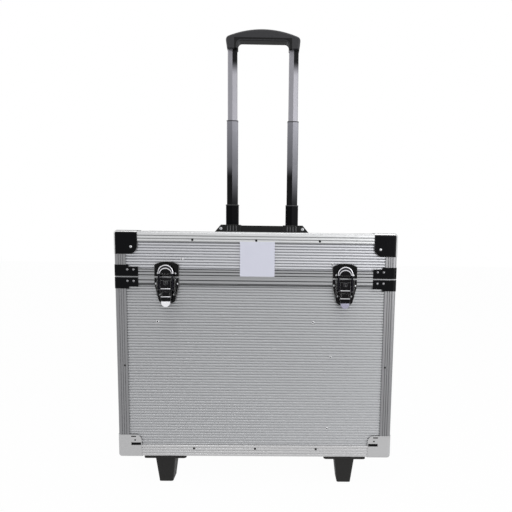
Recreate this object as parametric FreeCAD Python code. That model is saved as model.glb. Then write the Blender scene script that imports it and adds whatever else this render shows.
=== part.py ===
"""Portable dental unit: a wheeled aluminium trolley case with a lift-off lid, an air compressor, bottles,
a control deck and its instruments. Millimetres, +Z up, the front faces -Y, and the floor is at Z 0."""
import FreeCAD, Part
import math
import os
from FreeCAD import Vector

# ---- case ----------------------------------------------------------------------------------------------
CASE_WIDTH = 450.0
CASE_DEPTH = 240.0
BODY_HEIGHT = 299.0
LID_HEIGHT = 73.0
GROUND_CLEARANCE = 48.0
SEAM_GAP = 0.3             # between the closed lid and the body

# ---- case walls ----------------------------------------------------------------------------------------
PANEL_THICKNESS = 8.0
RIB_PITCH = 4.5
RIB_GROOVE_WIDTH = 2.3
RIB_GROOVE_DEPTH = 1.1
EDGE_THICKNESS = 2.0       # aluminium profile that laps over the panels
EDGE_RADIUS = 4.5
TOP_EDGE_WIDTH = 17.0
BASE_EDGE_WIDTH = 21.0
POST_WIDTH = 18.0
RIM_HEIGHT = 13.0
RIM_WEB = 2.0
TONGUE_HEIGHT = 6.0
TONGUE_THICKNESS = 1.5
TONGUE_CLEARANCE = 0.4
EDGE_GROOVE = (1.8, 1.0)   # width and depth of the grooves along the profiles
POST_GROOVE = (1.0, 0.6)
TOP_GROOVE_DROPS = (7.2, 11.9, 16.4)
BASE_GROOVE_RISES = (6.2, 10.9, 15.6, 20.3)
LID_RIM_GROOVES = (3.0, 8.0, 12.2)     # above the seam
BODY_RIM_GROOVES = (4.8, 10.3, 12.2)   # below the seam
POST_GROOVE_INSETS = (6.6, 10.1, 13.6)
MITRE_GAP = 0.2
FOAM_THICKNESS = 20.0
FOAM_CLEARANCE = 0.5

# ---- corner fittings -----------------------------------------------------------------------------------
CAP_THICKNESS = 0.8
LID_CAP_SIZE = 36.0
BASE_CAP_SIZE = 38.0
CAP_CORNER_RADIUS = 10.0
CAP_SLOT_INSET = 29.0      # from the case's side to the large slot's middle
CAP_SLOTS = ((16.0, 4.6, 22.4, 0.0), (2.6, 2.4, 28.8, 1.6), (8.0, 2.0, 35.0, 4.0))
CLIP_LENGTH = 35.0
CLIP_HEIGHT = 17.6
CLIP_SEAM_GAP = 1.3
CLIP_TAB_START = 20.0      # the clip's far end is lower than its corner part
CLIP_TAB_STEP = 3.0

# ---- draw latches, seen from the front: depth is measured outwards from the case ------------------------
LATCH_SIDE_INSET = 83.0    # latch's middle from the case's side
LATCH_WIDTH = 39.0
LATCH_PLATE_THICKNESS = 1.6
LATCH_SEAM_GAP = 0.9
LATCH_STRAIGHT = 12.0      # below the seam, down to where the plate starts to narrow
LATCH_TAPER_END = 38.5
LATCH_TAPER_WIDTH = 26.0
LATCH_FOOT = 43.0
KEEPER_SHOULDER = 20.0
KEEPER_TOP = 25.0
KEEPER_CORNER = 3.0
KEEPER_HORN_WIDTH = 16.0
KEEPER_HORN_LOW = 5.5
KEEPER_HORN_HIGH = 13.2
PIVOT_DROP = 4.0           # lever pivot below the seam
PIVOT_DEPTH = 5.0
PIVOT_RADIUS = 1.6
KNUCKLE_RADIUS = 3.1
CHEEK_THICKNESS = 1.5
CHEEK_INSIDE = 26.4        # between the two cheeks of a latch plate
CHEEK_LENGTH = 28.0
CHEEK_HEIGHT = 8.5
LEVER_WIDTH = 17.0
LEVER_SHOULDER_DROP = 4.8
LEVER_TIP_WIDTH = 15.0
LEVER_BACK = 2.4
LEVER_FRONT = 9.8
LEVER_END = 46.7
LEVER_LIP_HEIGHT = 9.0
LEVER_LIP_DEPTH = 2.7
LEVER_LIP_FILLET = 1.2
LEVER_TIP_ROUND = 5.0
LEVER_POCKET_DEPTH = 2.2
LEVER_POCKET_RIM = 1.5
LEVER_BAR_DROPS = (17.6, 30.4)         # raised bars across the lever
LEVER_BAR_WIDTH = 1.2
LEVER_BAR_PROUD = 0.8
BAIL_WIDTH = 24.5
BAIL_BAR = 3.0
BAIL_CROWN = 6.6
BAIL_TOP = 20.4
BAIL_THICKNESS = 2.4
BAIL_CLEARANCE = 0.3       # between the bail and the horn behind it
BAIL_SOFT_EDGE = 0.9
BAIL_PIN_DROP = 19.7
BAIL_PIN_RADIUS = 1.3
BAIL_EYE_RADIUS = 2.9
PIN_FIT = 0.08             # radial clearance of every pin and shaft
LOCK_RADIUS = 3.1
LOCK_DROP = 8.2
LOCK_LENGTH = 1.5
KEY_SLOT = (1.0, 3.6, 0.9)

# ---- feet and wheels -----------------------------------------------------------------------------------
FOOT_SIDE_INSET = 40.0
FOOT_SETBACK = 4.0
FLANGE_WIDTH = 70.0
FLANGE_DEPTH = 54.0
FLANGE_THICKNESS = 4.4
LEG_TOP_WIDTH = 33.0
LEG_TOP_DEPTH = 40.0
LEG_BOTTOM_WIDTH = 23.0
LEG_BOTTOM_DEPTH = 30.0
LEG_SETBACK = 2.0
LEG_CORNER = 3.0
WHEEL_SIDE_INSET = 55.0    # wheel's middle from the case's side
WHEEL_RADIUS = 21.0
WHEEL_WIDTH = 22.0
WHEEL_INSET = 6.0          # axle ahead of the case's rear face
TYRE_THICKNESS = 5.0
TYRE_ROUND = 3.0
HUB_BOSS_RADIUS = 8.0
AXLE_RADIUS = 4.0
AXLE_HEAD_RADIUS = 6.0
AXLE_HEAD_LENGTH = 2.0
WHEEL_SIDE_GAP = 0.5
HOUSING_CHEEK = 4.0
HOUSING_PLATE = 3.5
HOUSING_DEPTH = 52.0
HOUSING_NOSE = 9.0

# ---- telescopic handle ---------------------------------------------------------------------------------
TUBE_SPACING = 123.0
TUBE_STANDOFF = 16.0       # tube centre behind the case
OUTER_TUBE = (26.0, 18.0)
MIDDLE_TUBE = (22.4, 14.4)
INNER_TUBE = (19.2, 11.2)
OUTER_TUBE_WALL = 1.4
INNER_TUBE_WALL = 1.2
TUBE_RIDGE = 2.0
TUBE_CORNER = 2.2
OUTER_TUBE_RISE = 56.0     # above the closed lid
MIDDLE_TUBE_RISE = 224.5
GRIP_TOP_RISE = 400.0
GRIP_CROWN = 15.2          # the grip's ends are this much lower than its middle
GRIP_BAR_HEIGHT = 22.2
GRIP_LEG_LENGTH = 14.4
TUBE_OVERLAP = 70.0
SOCKET_DEPTH = 14.0
GRIP_WIDTH = 148.0
GRIP_DEPTH = 28.0
GRIP_LEG_WIDTH = 21.0
GRIP_END_RADIUS = 8.0
GRIP_FILLET = 4.5
BUTTON_LENGTH = 32.0
BUTTON_WIDTH = 12.0
BUTTON_HEIGHT = 9.0
BUTTON_PROUD = 0.8
BUTTON_TRAVEL = 5.0
BUTTON_GAP = 0.3
BUTTON_CORNER = 3.0
BRACKET_LOW_WIDTH = 194.0
BRACKET_TOP_WIDTH = 168.0
BRACKET_RISE = 15.4
BRACKET_DROP = 26.0
BRACKET_DEPTH = 27.0
BRACKET_GAP = 1.0          # to the lid, which lifts past it
BRACKET_BAR_SETBACK = 5.0
BRACKET_BAR_DROP = 1.2
SOCKET_WIDTH = 36.0
SOCKET_RIBS = 4
SOCKET_RIB_PITCH = 6.0
SOCKET_RIB_GAP = 2.0
SOCKET_RIB_DEPTH = 1.2
SOCKET_SLOT_WIDTH = 1.8
CLAMP_WIDTH = 42.0
CLAMP_HEIGHT = 40.0
CLAMP_WALL = 3.0
CLAMP_FLOOR = 4.0
SADDLE_HEIGHT = 22.0
SADDLE_DROP = 34.0         # saddle clamp's middle below the seam

# ---- inside --------------------------------------------------------------------------------------------
DECK_DROP = 45.0           # deck's top below the seam
DECK_THICKNESS = 3.0
DECK_FLANGE = 18.0
BOTTLE_END_GAP = 8.0
BOTTLE_RADIUS = 42.0
BOTTLE_SHOULDER = 45.0
BOTTLE_BULGE = 1.2
BOTTLE_BEVEL = 5.0
NECK_LENGTH = 7.5
NECK_RADIUS = 19.0
NECK_RISE = 6.0
BOTTLE_CAP_RADIUS = 24.0
BOTTLE_CAP_HEIGHT = 17.0
CAP_SKIRT_GAP = 1.0        # cap's lower edge above the deck
CONTROLS_PITCH = 83.0      # from the bottles' middle to the row of controls
GAUGE_FRONT_GAP = 10.0
GAUGE_RADIUS = 22.0
GAUGE_BEZEL = 26.0
GAUGE_DEPTH = 24.0
GAUGE_RISE = 6.0
KNOB_RADIUS = 14.0
KNOB_CHAMFER = 1.0
KNOB_HEIGHT = 17.0
KNOB_FLUTES = 12
KNOB_FLUTE_RADIUS = 2.0
KNOB_GAP = 0.6
KNOB_SHAFT_RADIUS = 4.0
KNOB_SHAFT_DROP = 14.0
INLET_REAR_GAP = 21.0
INLET_BODY = (27.0, 56.0, 26.0)
INLET_FLANGE = (33.0, 66.0, 3.0)
INLET_RECESS = (16.0, 24.0, 20.0)
INLET_RECESS_CORNER = 1.2
INLET_RECESS_Y = 13.5      # recess centre from the inlet's centre
INLET_PIN = (2.0, 4.0, 13.0)
INLET_PIN_SPACING = 14.0
ROCKER_WIDTH = 12.0
ROCKER_HALF = 8.5
ROCKER_HORN = 3.5
ROCKER_DIP = 0.9
ROCKER_FOOT_HALF = 5.1
ROCKER_FOOT_DROP = 5.9
ROCKER_PIVOT_DROP = 2.3
ROCKER_Y = -14.0
ROCKER_GAP = 0.5
ROCKER_TILT = 8.0
ROCKER_WELL_LENGTH = 20.4
ROCKER_WELL_DEPTH = 15.0
VALVE_WIDTH = 46.0
VALVE_HEIGHT = 38.0
VALVE_GAP = 10.0           # to the gauge's can and the inlet's body
HEAD_END_GAP = 52.0
MOTOR_FRONT_GAP = 14.0
MOTOR_RADIUS = 46.0
MOTOR_LENGTH = 130.0
MOTOR_CAP_LENGTH = 16.0
MOTOR_CHAMFER = 4.0
MOTOR_NECK = (77.0, 44.0)
MOTOR_RIDGES = 16
MOTOR_RIDGE_DEPTH = 2.0
MOUNT_HEIGHT = 18.0
MOUNT_RADIUS = 9.0
MOUNT_WAIST_RADIUS = 6.3
MOTOR_FOOT = (110.0, 74.0, 6.0)
HEAD_WIDTH = 58.0
HEAD_DEPTH = 76.0
HEAD_HEIGHT = 128.0
HEAD_DROP = 36.8           # head's underside below the motor's axis
HEAD_FINS = 7
HEAD_FIN_GAP = 3.0
HEAD_FIN_DEPTH = 6.0
TANK_END_GAP = 35.0
TANK_BOTTLE_GAP = 53.0
TANK_REAR_GAP = 8.0
TANK_MOTOR_GAP = 18.0
TANK_DOME = 24.0
TANK_BOSS_RADIUS = 10.0
TANK_OUTLET_INSET = 62.5
SADDLE_THICKNESS = 6.0
SADDLE_INSET = 50.0        # from the tank's ends
SADDLE_TOP_DROP = 14.7     # below the tank's axis
SADDLE_CLEARANCE = 12.0    # tank's underside above the base panel
HOSE_RADIUS = 5.0
HOSE_BEND = 22.0
DELIVERY_BEND = 19.8
RAIL_THICKNESS = 12.0
RAIL_HEIGHT = 30.0
RAIL_LOW_INSET = 8.0       # from the handles' front ends
RAIL_HIGH_INSET = 32.0     # from the handles' back ends
RAIL_CONTROLS_GAP = 44.0
INSTRUMENTS = 3
INSTRUMENT_PITCH = 46.0
INSTRUMENT_RADIUS = 9.0
INSTRUMENT_RISE = 26.0
CRADLE_GAP = 0.3
HANDLE_FRONT_GAP = 40.0
HANDLE_LENGTH = 132.0
HANDLE_CHAMFER = 2.2
SPRAY_TIP_RADIUS = 2.2
SPRAY_TIP_REACH = 18.0
SPRAY_BUTTON_RADIUS = 3.0
SPRAY_BUTTON_RISE = 11.2
SPRAY_BUTTONS = (13.5, 23.4)
TURBINE_NECK_RADIUS = 4.5
TURBINE_HEAD_RADIUS = 5.4
TURBINE_HEAD_HEIGHT = 12.6
TURBINE_HEAD_DROP = 2.7
SUCTION_TIP_RADIUS = 5.4
SUCTION_SLIDER_RISE = 11.7
SUCTION_SLIDER_Y = 27.0
VENT_RADIUS = 38.0
VENT_RISE = 113.0          # fan opening's middle above the case's base
VENT_GUARD = 92.0
VENT_GUARD_THICKNESS = 3.0
VENT_RINGS = 4
VENT_SPOKES = (45, 135)
VENT_BAR = 2.4

# ---- places that follow from the sizes -----------------------------------------------------------------
FRONT_REACH = LEVER_FRONT + LEVER_LIP_DEPTH
REAR_REACH = max(BRACKET_GAP + BRACKET_DEPTH, TUBE_STANDOFF + GRIP_DEPTH / 2)
CENTRE_Y = (FRONT_REACH - REAR_REACH) / 2
FRONT = CENTRE_Y - CASE_DEPTH / 2
REAR = CENTRE_Y + CASE_DEPTH / 2
BASE = GROUND_CLEARANCE
SEAM = BASE + BODY_HEIGHT
LID_BASE = SEAM + SEAM_GAP
TOP = SEAM + LID_HEIGHT
WALL = EDGE_THICKNESS + PANEL_THICKNESS
INNER_WIDTH = CASE_WIDTH - 2 * WALL
INNER_DEPTH = CASE_DEPTH - 2 * WALL
LATCH_SPACING = CASE_WIDTH - 2 * LATCH_SIDE_INSET
FOOT_SPACING = CASE_WIDTH - 2 * FOOT_SIDE_INSET - FLANGE_WIDTH
WHEEL_SPACING = CASE_WIDTH - 2 * WHEEL_SIDE_INSET
GRIP_END_RISE = GRIP_TOP_RISE - GRIP_CROWN
GRIP_OPENING_RISE = GRIP_TOP_RISE - GRIP_BAR_HEIGHT
GRIP_LEG_RISE = GRIP_OPENING_RISE - GRIP_LEG_LENGTH
TUBE_Y = REAR + TUBE_STANDOFF
FLOOR_PANEL_TOP = BASE + WALL
CLAMP_BASE = BASE + BASE_EDGE_WIDTH
DECK_TOP = SEAM - DECK_DROP
DECK_UNDER = DECK_TOP - DECK_THICKNESS
BAIL_BACK = LEVER_FRONT - BAIL_THICKNESS
BAIL_PIN_DEPTH = LEVER_FRONT - BAIL_THICKNESS / 2
BOTTLE_X = BOTTLE_END_GAP + BOTTLE_RADIUS - INNER_WIDTH / 2
BOTTLE_Y = INNER_DEPTH / 4
CONTROLS_X = BOTTLE_X + CONTROLS_PITCH
GAUGE_Y = GAUGE_FRONT_GAP + GAUGE_BEZEL - INNER_DEPTH / 2
INLET_Y = INNER_DEPTH / 2 - INLET_REAR_GAP - INLET_FLANGE[1] / 2
GAUGE_CAN_BACK = GAUGE_Y + GAUGE_RADIUS
INLET_BODY_FRONT = INLET_Y - INLET_BODY[1] / 2
KNOB_Y = (GAUGE_CAN_BACK + INLET_BODY_FRONT) / 2
VALVE_DEPTH = INLET_BODY_FRONT - GAUGE_CAN_BACK - 2 * VALVE_GAP
MOTOR_X = INNER_WIDTH / 2 - HEAD_END_GAP - HEAD_WIDTH - MOTOR_LENGTH / 2
MOTOR_Y = MOTOR_FRONT_GAP + MOTOR_RADIUS - INNER_DEPTH / 2
TANK_RADIUS = (INNER_DEPTH - MOTOR_FRONT_GAP - 2 * MOTOR_RADIUS - TANK_MOTOR_GAP - TANK_REAR_GAP) / 2
TANK_Y = INNER_DEPTH / 2 - TANK_REAR_GAP - TANK_RADIUS
TANK_START = BOTTLE_X + BOTTLE_RADIUS + TANK_BOTTLE_GAP
TANK_END = INNER_WIDTH / 2 - TANK_END_GAP
RAIL_START = CONTROLS_X + RAIL_CONTROLS_GAP
HANDLE_FRONT_Y = HANDLE_FRONT_GAP - INNER_DEPTH / 2
HANDLE_BACK_Y = HANDLE_FRONT_Y + HANDLE_LENGTH
RAIL_YS = (HANDLE_FRONT_Y + RAIL_LOW_INSET, HANDLE_BACK_Y - RAIL_HIGH_INSET)
UP = (0, 0, 1)
RIGHTWARD = (1, 0, 0)
BACKWARD = (0, 1, 0)
EPS = 1.0                  # how far cutting tools run past what they cut
NEAR = 0.01                # places nearer than this are the same
ALONG = 0.999              # cosine of a direction that counts as along an axis
SIDES = (("left", -1), ("right", 1))
FACES = (("front", 0), ("rear", 180))


# ---- general shapes ------------------------------------------------------------------------------------
def save(name, *solids):
    """Write the solids as one sub-part."""
    shape = solids[0] if len(solids) == 1 else Part.makeCompound(list(solids))
    shape.exportStep("parts/" + name + ".step")


def block(x0, x1, y0, y1, z0, z1):
    return Part.makeBox(x1 - x0, y1 - y0, z1 - z0, Vector(x0, y0, z0))


def centred(width, depth, z0, z1, x=0.0, y=0.0):
    """A box that is centred on (x, y)."""
    return block(x - width / 2, x + width / 2, y - depth / 2, y + depth / 2, z0, z1)


def rod(radius, start, axis, length):
    return Part.makeCylinder(radius, length, Vector(*start), Vector(*axis))


def prism(points, sweep):
    """A straight solid on a closed outline of (x, y, z) points."""
    corners = [Vector(*p) for p in points]
    return Part.Face(Part.makePolygon(corners + corners[:1])).extrude(Vector(*sweep))


def fused(solids):
    first, *others = solids
    return first.fuse(others).removeSplitter()


def turned(shape, angle, centre=(0.0, 0.0)):
    """A copy turned about the vertical through centre."""
    copy = shape.copy()
    copy.rotate(Vector(centre[0], centre[1], 0), Vector(*UP), angle)
    return copy


def moved(shape, x=0.0, y=0.0, z=0.0):
    copy = shape.copy()
    copy.translate(Vector(x, y, z))
    return copy


def upright_edges(shape):
    """The straight edges that run along Z."""
    return [e for e in shape.Edges if abs(e.tangentAt(e.FirstParameter).z) > ALONG and e.Length > EPS]


def rounded_box(width, depth, z0, z1, radius, x=0.0, y=0.0):
    box = centred(width, depth, z0, z1, x, y)
    return box.makeFillet(radius, upright_edges(box))


def case_core(inset, z0, z1):
    """The case's box, with its four walls moved in by inset."""
    return centred(CASE_WIDTH - 2 * inset, CASE_DEPTH - 2 * inset, z0, z1, 0, CENTRE_Y)


def rounded_case(grow, z0, z1, closed_z=None):
    """The case's outside, grown on every wall, with round upright edges and a round closed end."""
    box = case_core(-grow, z0, z1)
    edges = upright_edges(box)
    if closed_z is not None:
        edges += [e for e in box.Edges if abs(e.CenterOfMass.z - closed_z) < NEAR]
    return box.makeFillet(EDGE_RADIUS + grow, edges)


def lid_outside(grow=0.0):
    return rounded_case(grow, LID_BASE, TOP + grow, TOP + grow)


def body_outside(grow=0.0):
    return rounded_case(grow, BASE - grow, SEAM, BASE - grow)


def four_lengths(ring):
    """Cut a ring at its mitred corners, and return its four lengths."""
    reach = 2 * max(TOP_EDGE_WIDTH, BASE_EDGE_WIDTH)
    low = ring.BoundBox.ZMin - EPS
    high = ring.BoundBox.ZMax + EPS
    saws = []
    for sx in (-1, 1):
        for sy in (-1, 1):
            saw = block(0, reach, -MITRE_GAP / 2, MITRE_GAP / 2, low, high)
            saw = moved(saw, -CAP_THICKNESS - EPS)
            saw.rotate(Vector(0, 0, 0), Vector(*UP), math.degrees(math.atan2(-sy, -sx)))
            saws.append(moved(saw, sx * CASE_WIDTH / 2, CENTRE_Y + sy * CASE_DEPTH / 2))
    return ring.cut(saws).Solids


def corner_blocks(size, z0, z1):
    """One box over each upright corner of the case."""
    boxes = []
    for sx in (-1, 1):
        for sy in (-1, 1):
            x = sx * (CASE_WIDTH / 2 - size / 2 + EPS)
            y = CENTRE_Y + sy * (CASE_DEPTH / 2 - size / 2 + EPS)
            boxes.append(centred(size + 2 * EPS, size + 2 * EPS, z0, z1, x, y))
    return boxes


def vee_section(along, face, out, groove):
    """The section of a V-shaped groove, as (along, across) points, in a face that looks towards out."""
    width, depth = groove
    wide = width / 2 * (1 + EPS / depth)
    return [(along - wide, face + out * EPS), (along + wide, face + out * EPS), (along, face - out * depth)]


def groove_rings(heights):
    """The stock to remove for grooves round the case at these heights."""
    rings = []
    start_x = -CASE_WIDTH / 2 - EPS
    start_y = CENTRE_Y - CASE_DEPTH / 2 - EPS
    for z in heights:
        for side in (-1, 1):
            face_x = side * CASE_WIDTH / 2
            face_y = CENTRE_Y + side * CASE_DEPTH / 2
            long_section = vee_section(z, face_y, side, EDGE_GROOVE)
            end_section = vee_section(z, face_x, side, EDGE_GROOVE)
            rings.append(prism([(start_x, y, along) for along, y in long_section],
                               (CASE_WIDTH + 2 * EPS, 0, 0)))
            rings.append(prism([(x, start_y, along) for along, x in end_section],
                               (0, CASE_DEPTH + 2 * EPS, 0)))
    return rings


# ---- case walls ----------------------------------------------------------------------------------------
def rib_outline(low, high):
    """The section of a ribbed sheet as (outward, along) points, with its ribs at outward 0."""
    points = [(-PANEL_THICKNESS, low), (0, low)]
    count = int((high - low) / RIB_PITCH)
    start = low + (high - low - count * RIB_PITCH) / 2 + RIB_PITCH / 2
    for i in range(count):
        middle = start + i * RIB_PITCH
        points.append((0, middle - RIB_GROOVE_WIDTH / 2))
        points.append((-RIB_GROOVE_DEPTH, middle))
        points.append((0, middle + RIB_GROOVE_WIDTH / 2))
    return points + [(0, high), (-PANEL_THICKNESS, high)]


def ribbed_wall(length, z0, z1, face):
    """An upright panel, length wide, whose ribs face -Y at Y = face."""
    outline = [(-length / 2, face - out, z) for out, z in rib_outline(z0, z1)]
    return prism(outline, (length, 0, 0))


def wall_set(z0, z1):
    """The front, rear and two end panels between two heights."""
    front = ribbed_wall(CASE_WIDTH - 2 * EDGE_THICKNESS, z0, z1, FRONT + EDGE_THICKNESS)
    rear = turned(front, 180, (0, CENTRE_Y))
    end = ribbed_wall(CASE_DEPTH - 2 * WALL, z0, z1, CENTRE_Y - CASE_WIDTH / 2 + EDGE_THICKNESS)
    return front, rear, turned(end, -90, (0, CENTRE_Y)), turned(end, 90, (0, CENTRE_Y))


def lid_top_panel():
    half = CASE_DEPTH / 2 - EDGE_THICKNESS
    z = TOP - EDGE_THICKNESS
    width = CASE_WIDTH - 2 * EDGE_THICKNESS
    outline = [(-width / 2, CENTRE_Y + along, z + out) for out, along in rib_outline(-half, half)]
    return prism(outline, (width, 0, 0))


def lid_edge_profiles():
    shell = lid_outside().cut(case_core(EDGE_THICKNESS, LID_BASE - EPS, TOP - EDGE_THICKNESS))
    band = shell.common(case_core(-EPS, TOP - TOP_EDGE_WIDTH, TOP + EPS))
    window = case_core(TOP_EDGE_WIDTH, TOP - TOP_EDGE_WIDTH, TOP + EPS)
    grooves = groove_rings([TOP - drop for drop in TOP_GROOVE_DROPS])
    return four_lengths(band.cut([window] + grooves))


def base_edge_profiles():
    shell = body_outside().cut(case_core(EDGE_THICKNESS, BASE + EDGE_THICKNESS, SEAM + EPS))
    band = shell.common(case_core(-EPS, BASE - EPS, BASE + BASE_EDGE_WIDTH))
    window = case_core(BASE_EDGE_WIDTH, BASE - EPS, BASE + BASE_EDGE_WIDTH)
    grooves = groove_rings([BASE + rise for rise in BASE_GROOVE_RISES])
    return four_lengths(band.cut([window] + grooves))


def post_grooves(z0, z1):
    """The stock to remove for the upright grooves in both faces of every corner post."""
    grooves = []
    sweep = (0, 0, z1 - z0)
    for sx in (-1, 1):
        for sy in (-1, 1):
            x, y = sx * CASE_WIDTH / 2, CENTRE_Y + sy * CASE_DEPTH / 2
            for inset in POST_GROOVE_INSETS:
                long_section = vee_section(x - sx * inset, y, sy, POST_GROOVE)
                end_section = vee_section(y - sy * inset, x, sx, POST_GROOVE)
                grooves.append(prism([(along, across, z0) for along, across in long_section], sweep))
                grooves.append(prism([(across, along, z0) for along, across in end_section], sweep))
    return grooves


def corner_posts(z0, z1):
    inside = case_core(EDGE_THICKNESS, z0 - EPS, z1 + EPS)
    shell = rounded_case(0, z0, z1).cut([inside] + post_grooves(z0, z1))
    return [shell.common(corner) for corner in corner_blocks(POST_WIDTH, z0 - EPS, z1 + EPS)]


def rim_profile(z0, z1, web_z0, web_z1, groove_heights):
    """An outer leaf with a web over the panels' edges."""
    outside = rounded_case(0, z0, z1)
    leaf = outside.cut(case_core(EDGE_THICKNESS, z0 - EPS, z1 + EPS))
    web = outside.common(case_core(-EPS, web_z0, web_z1)).cut(case_core(WALL, web_z0 - EPS, web_z1 + EPS))
    return leaf.fuse(web).cut(groove_rings(groove_heights))


def lid_rim_profile():
    grooves = [LID_BASE + rise for rise in LID_RIM_GROOVES]
    return four_lengths(rim_profile(LID_BASE, LID_BASE + RIM_HEIGHT, LID_BASE, LID_BASE + RIM_WEB, grooves))


def body_rim_profile():
    """The rim carries the tongue that stands inside the lid's walls."""
    grooves = [SEAM - drop for drop in BODY_RIM_GROOVES]
    rim = rim_profile(SEAM - RIM_HEIGHT, SEAM, SEAM - RIM_WEB, SEAM, grooves)
    inset = WALL + TONGUE_CLEARANCE + TONGUE_THICKNESS
    inside = case_core(inset, SEAM - RIM_HEIGHT - EPS, SEAM + 2 * RIM_HEIGHT)
    lower = case_core(WALL, SEAM - RIM_HEIGHT, SEAM).cut(inside)
    tongue = case_core(WALL + TONGUE_CLEARANCE, SEAM, SEAM + TONGUE_HEIGHT).cut(inside)
    return four_lengths(rim.fuse([lower, tongue]))


def lid_foam():
    z1 = TOP - WALL
    return case_core(WALL + FOAM_CLEARANCE, z1 - FOAM_THICKNESS, z1)


# ---- corner fittings -----------------------------------------------------------------------------------
def corner_caps(outside, size, z0, z1):
    """Three-leaved caps over the corners between z0 and z1, with round free corners."""
    skin = outside(CAP_THICKNESS).cut(outside())
    caps = []
    for corner in corner_blocks(size, z0, z1):
        cap = skin.common(corner)
        tips = [e for e in cap.Edges if abs(e.Length - CAP_THICKNESS) < NEAR]
        caps.append(cap.makeFillet(CAP_CORNER_RADIUS, tips))
    return caps


def lid_corner_caps():
    return corner_caps(lid_outside, LID_CAP_SIZE, TOP - LID_CAP_SIZE, TOP + EPS + CAP_THICKNESS)


def base_corner_caps():
    caps = corner_caps(body_outside, BASE_CAP_SIZE, BASE - EPS - CAP_THICKNESS, BASE + BASE_CAP_SIZE)
    slots = []
    for sx in (-1, 1):
        for length, height, rise, outward in CAP_SLOTS:
            x = sx * (CASE_WIDTH / 2 - CAP_SLOT_INSET + outward)
            low = BASE + rise - height / 2
            for y in (FRONT, REAR):
                slots.append(centred(length, 2 * (CAP_THICKNESS + EPS), low, low + height, x, y))
    return [cap.cut(slots) for cap in caps]


def seam_clips(outside, z0, z1, step_z0, step_z1):
    """Angle plates that tie the rim to the posts; their far ends are cut back between the step heights."""
    skin = outside(CAP_THICKNESS).cut(outside())
    tall = skin.common(Part.makeCompound(corner_blocks(CLIP_LENGTH, z0, z1)))
    corner_part = Part.makeCompound(corner_blocks(CLIP_TAB_START, step_z0 - EPS, step_z1 + EPS))
    step = case_core(-2 * EPS - CAP_THICKNESS, step_z0, step_z1).cut(corner_part)
    return tall.cut(step).Solids


def lid_seam_clips():
    low = LID_BASE + CLIP_SEAM_GAP
    high = low + CLIP_HEIGHT
    return seam_clips(lid_outside, low, high, high - CLIP_TAB_STEP, high + EPS)


def body_seam_clips():
    high = SEAM - CLIP_SEAM_GAP
    low = high - CLIP_HEIGHT
    return seam_clips(body_outside, low, high, low - EPS, low + CLIP_TAB_STEP)


# ---- draw latches --------------------------------------------------------------------------------------
def latch_point(x, drop, depth):
    """A point of the front latch, from the seam downwards and from the case outwards."""
    return Vector(x, FRONT - depth, SEAM - drop)


def latch_prism(edges, depth0, depth1):
    return Part.Face(Part.Wire(edges)).extrude(Vector(0, depth0 - depth1, 0))


def line(a, b):
    return Part.LineSegment(a, b).toShape()


def arc(a, b, c):
    return Part.Arc(a, b, c).toShape()


def latch_plate_outline(depth, top):
    """The tapering outline of the plate on the body, from top down to its round foot."""
    half = LATCH_WIDTH / 2
    narrow = LATCH_TAPER_WIDTH / 2
    right = [latch_point(half, top, depth), latch_point(half, max(top, LATCH_STRAIGHT), depth)]
    end = latch_point(narrow, LATCH_TAPER_END, depth)
    foot = latch_point(0, LATCH_FOOT, depth)
    far = latch_point(-narrow, LATCH_TAPER_END, depth)
    left = [latch_point(-half, max(top, LATCH_STRAIGHT), depth), latch_point(-half, top, depth)]
    edges = [line(left[1], right[0])]
    if top < LATCH_STRAIGHT:
        edges.append(line(right[0], right[1]))
    edges += [line(right[1], end), arc(end, foot, far), line(far, left[0])]
    if top < LATCH_STRAIGHT:
        edges.append(line(left[0], left[1]))
    return edges


def latch_plate():
    """The plate on the body, with the two cheeks and stub pins that carry the lever."""
    plate = latch_prism(latch_plate_outline(0, LATCH_SEAM_GAP), 0, LATCH_PLATE_THICKNESS)
    backing = latch_prism(latch_plate_outline(-EDGE_THICKNESS, RIM_HEIGHT), -EDGE_THICKNESS, 0)
    pieces = [plate, backing]
    for side in (-1, 1):
        near = side * CHEEK_INSIDE / 2
        far = near + side * CHEEK_THICKNESS
        top = SEAM - LATCH_SEAM_GAP
        cheek_y = FRONT - CHEEK_HEIGHT
        cheek = block(min(near, far), max(near, far), cheek_y, FRONT, top - CHEEK_LENGTH, top)
        front_edges = [e for e in cheek.Edges if abs(e.CenterOfMass.y - cheek_y) < NEAR
                       and abs(e.tangentAt(e.FirstParameter).x) > ALONG]
        pieces.append(cheek.makeFillet(PIVOT_RADIUS, front_edges))
        inner = side * (LEVER_WIDTH / 2 - 2 * PIVOT_RADIUS)
        start = latch_point(inner, PIVOT_DROP, PIVOT_DEPTH)
        pieces.append(rod(PIVOT_RADIUS, start, (side, 0, 0), abs(far - inner)))
    return fused(pieces)


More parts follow.
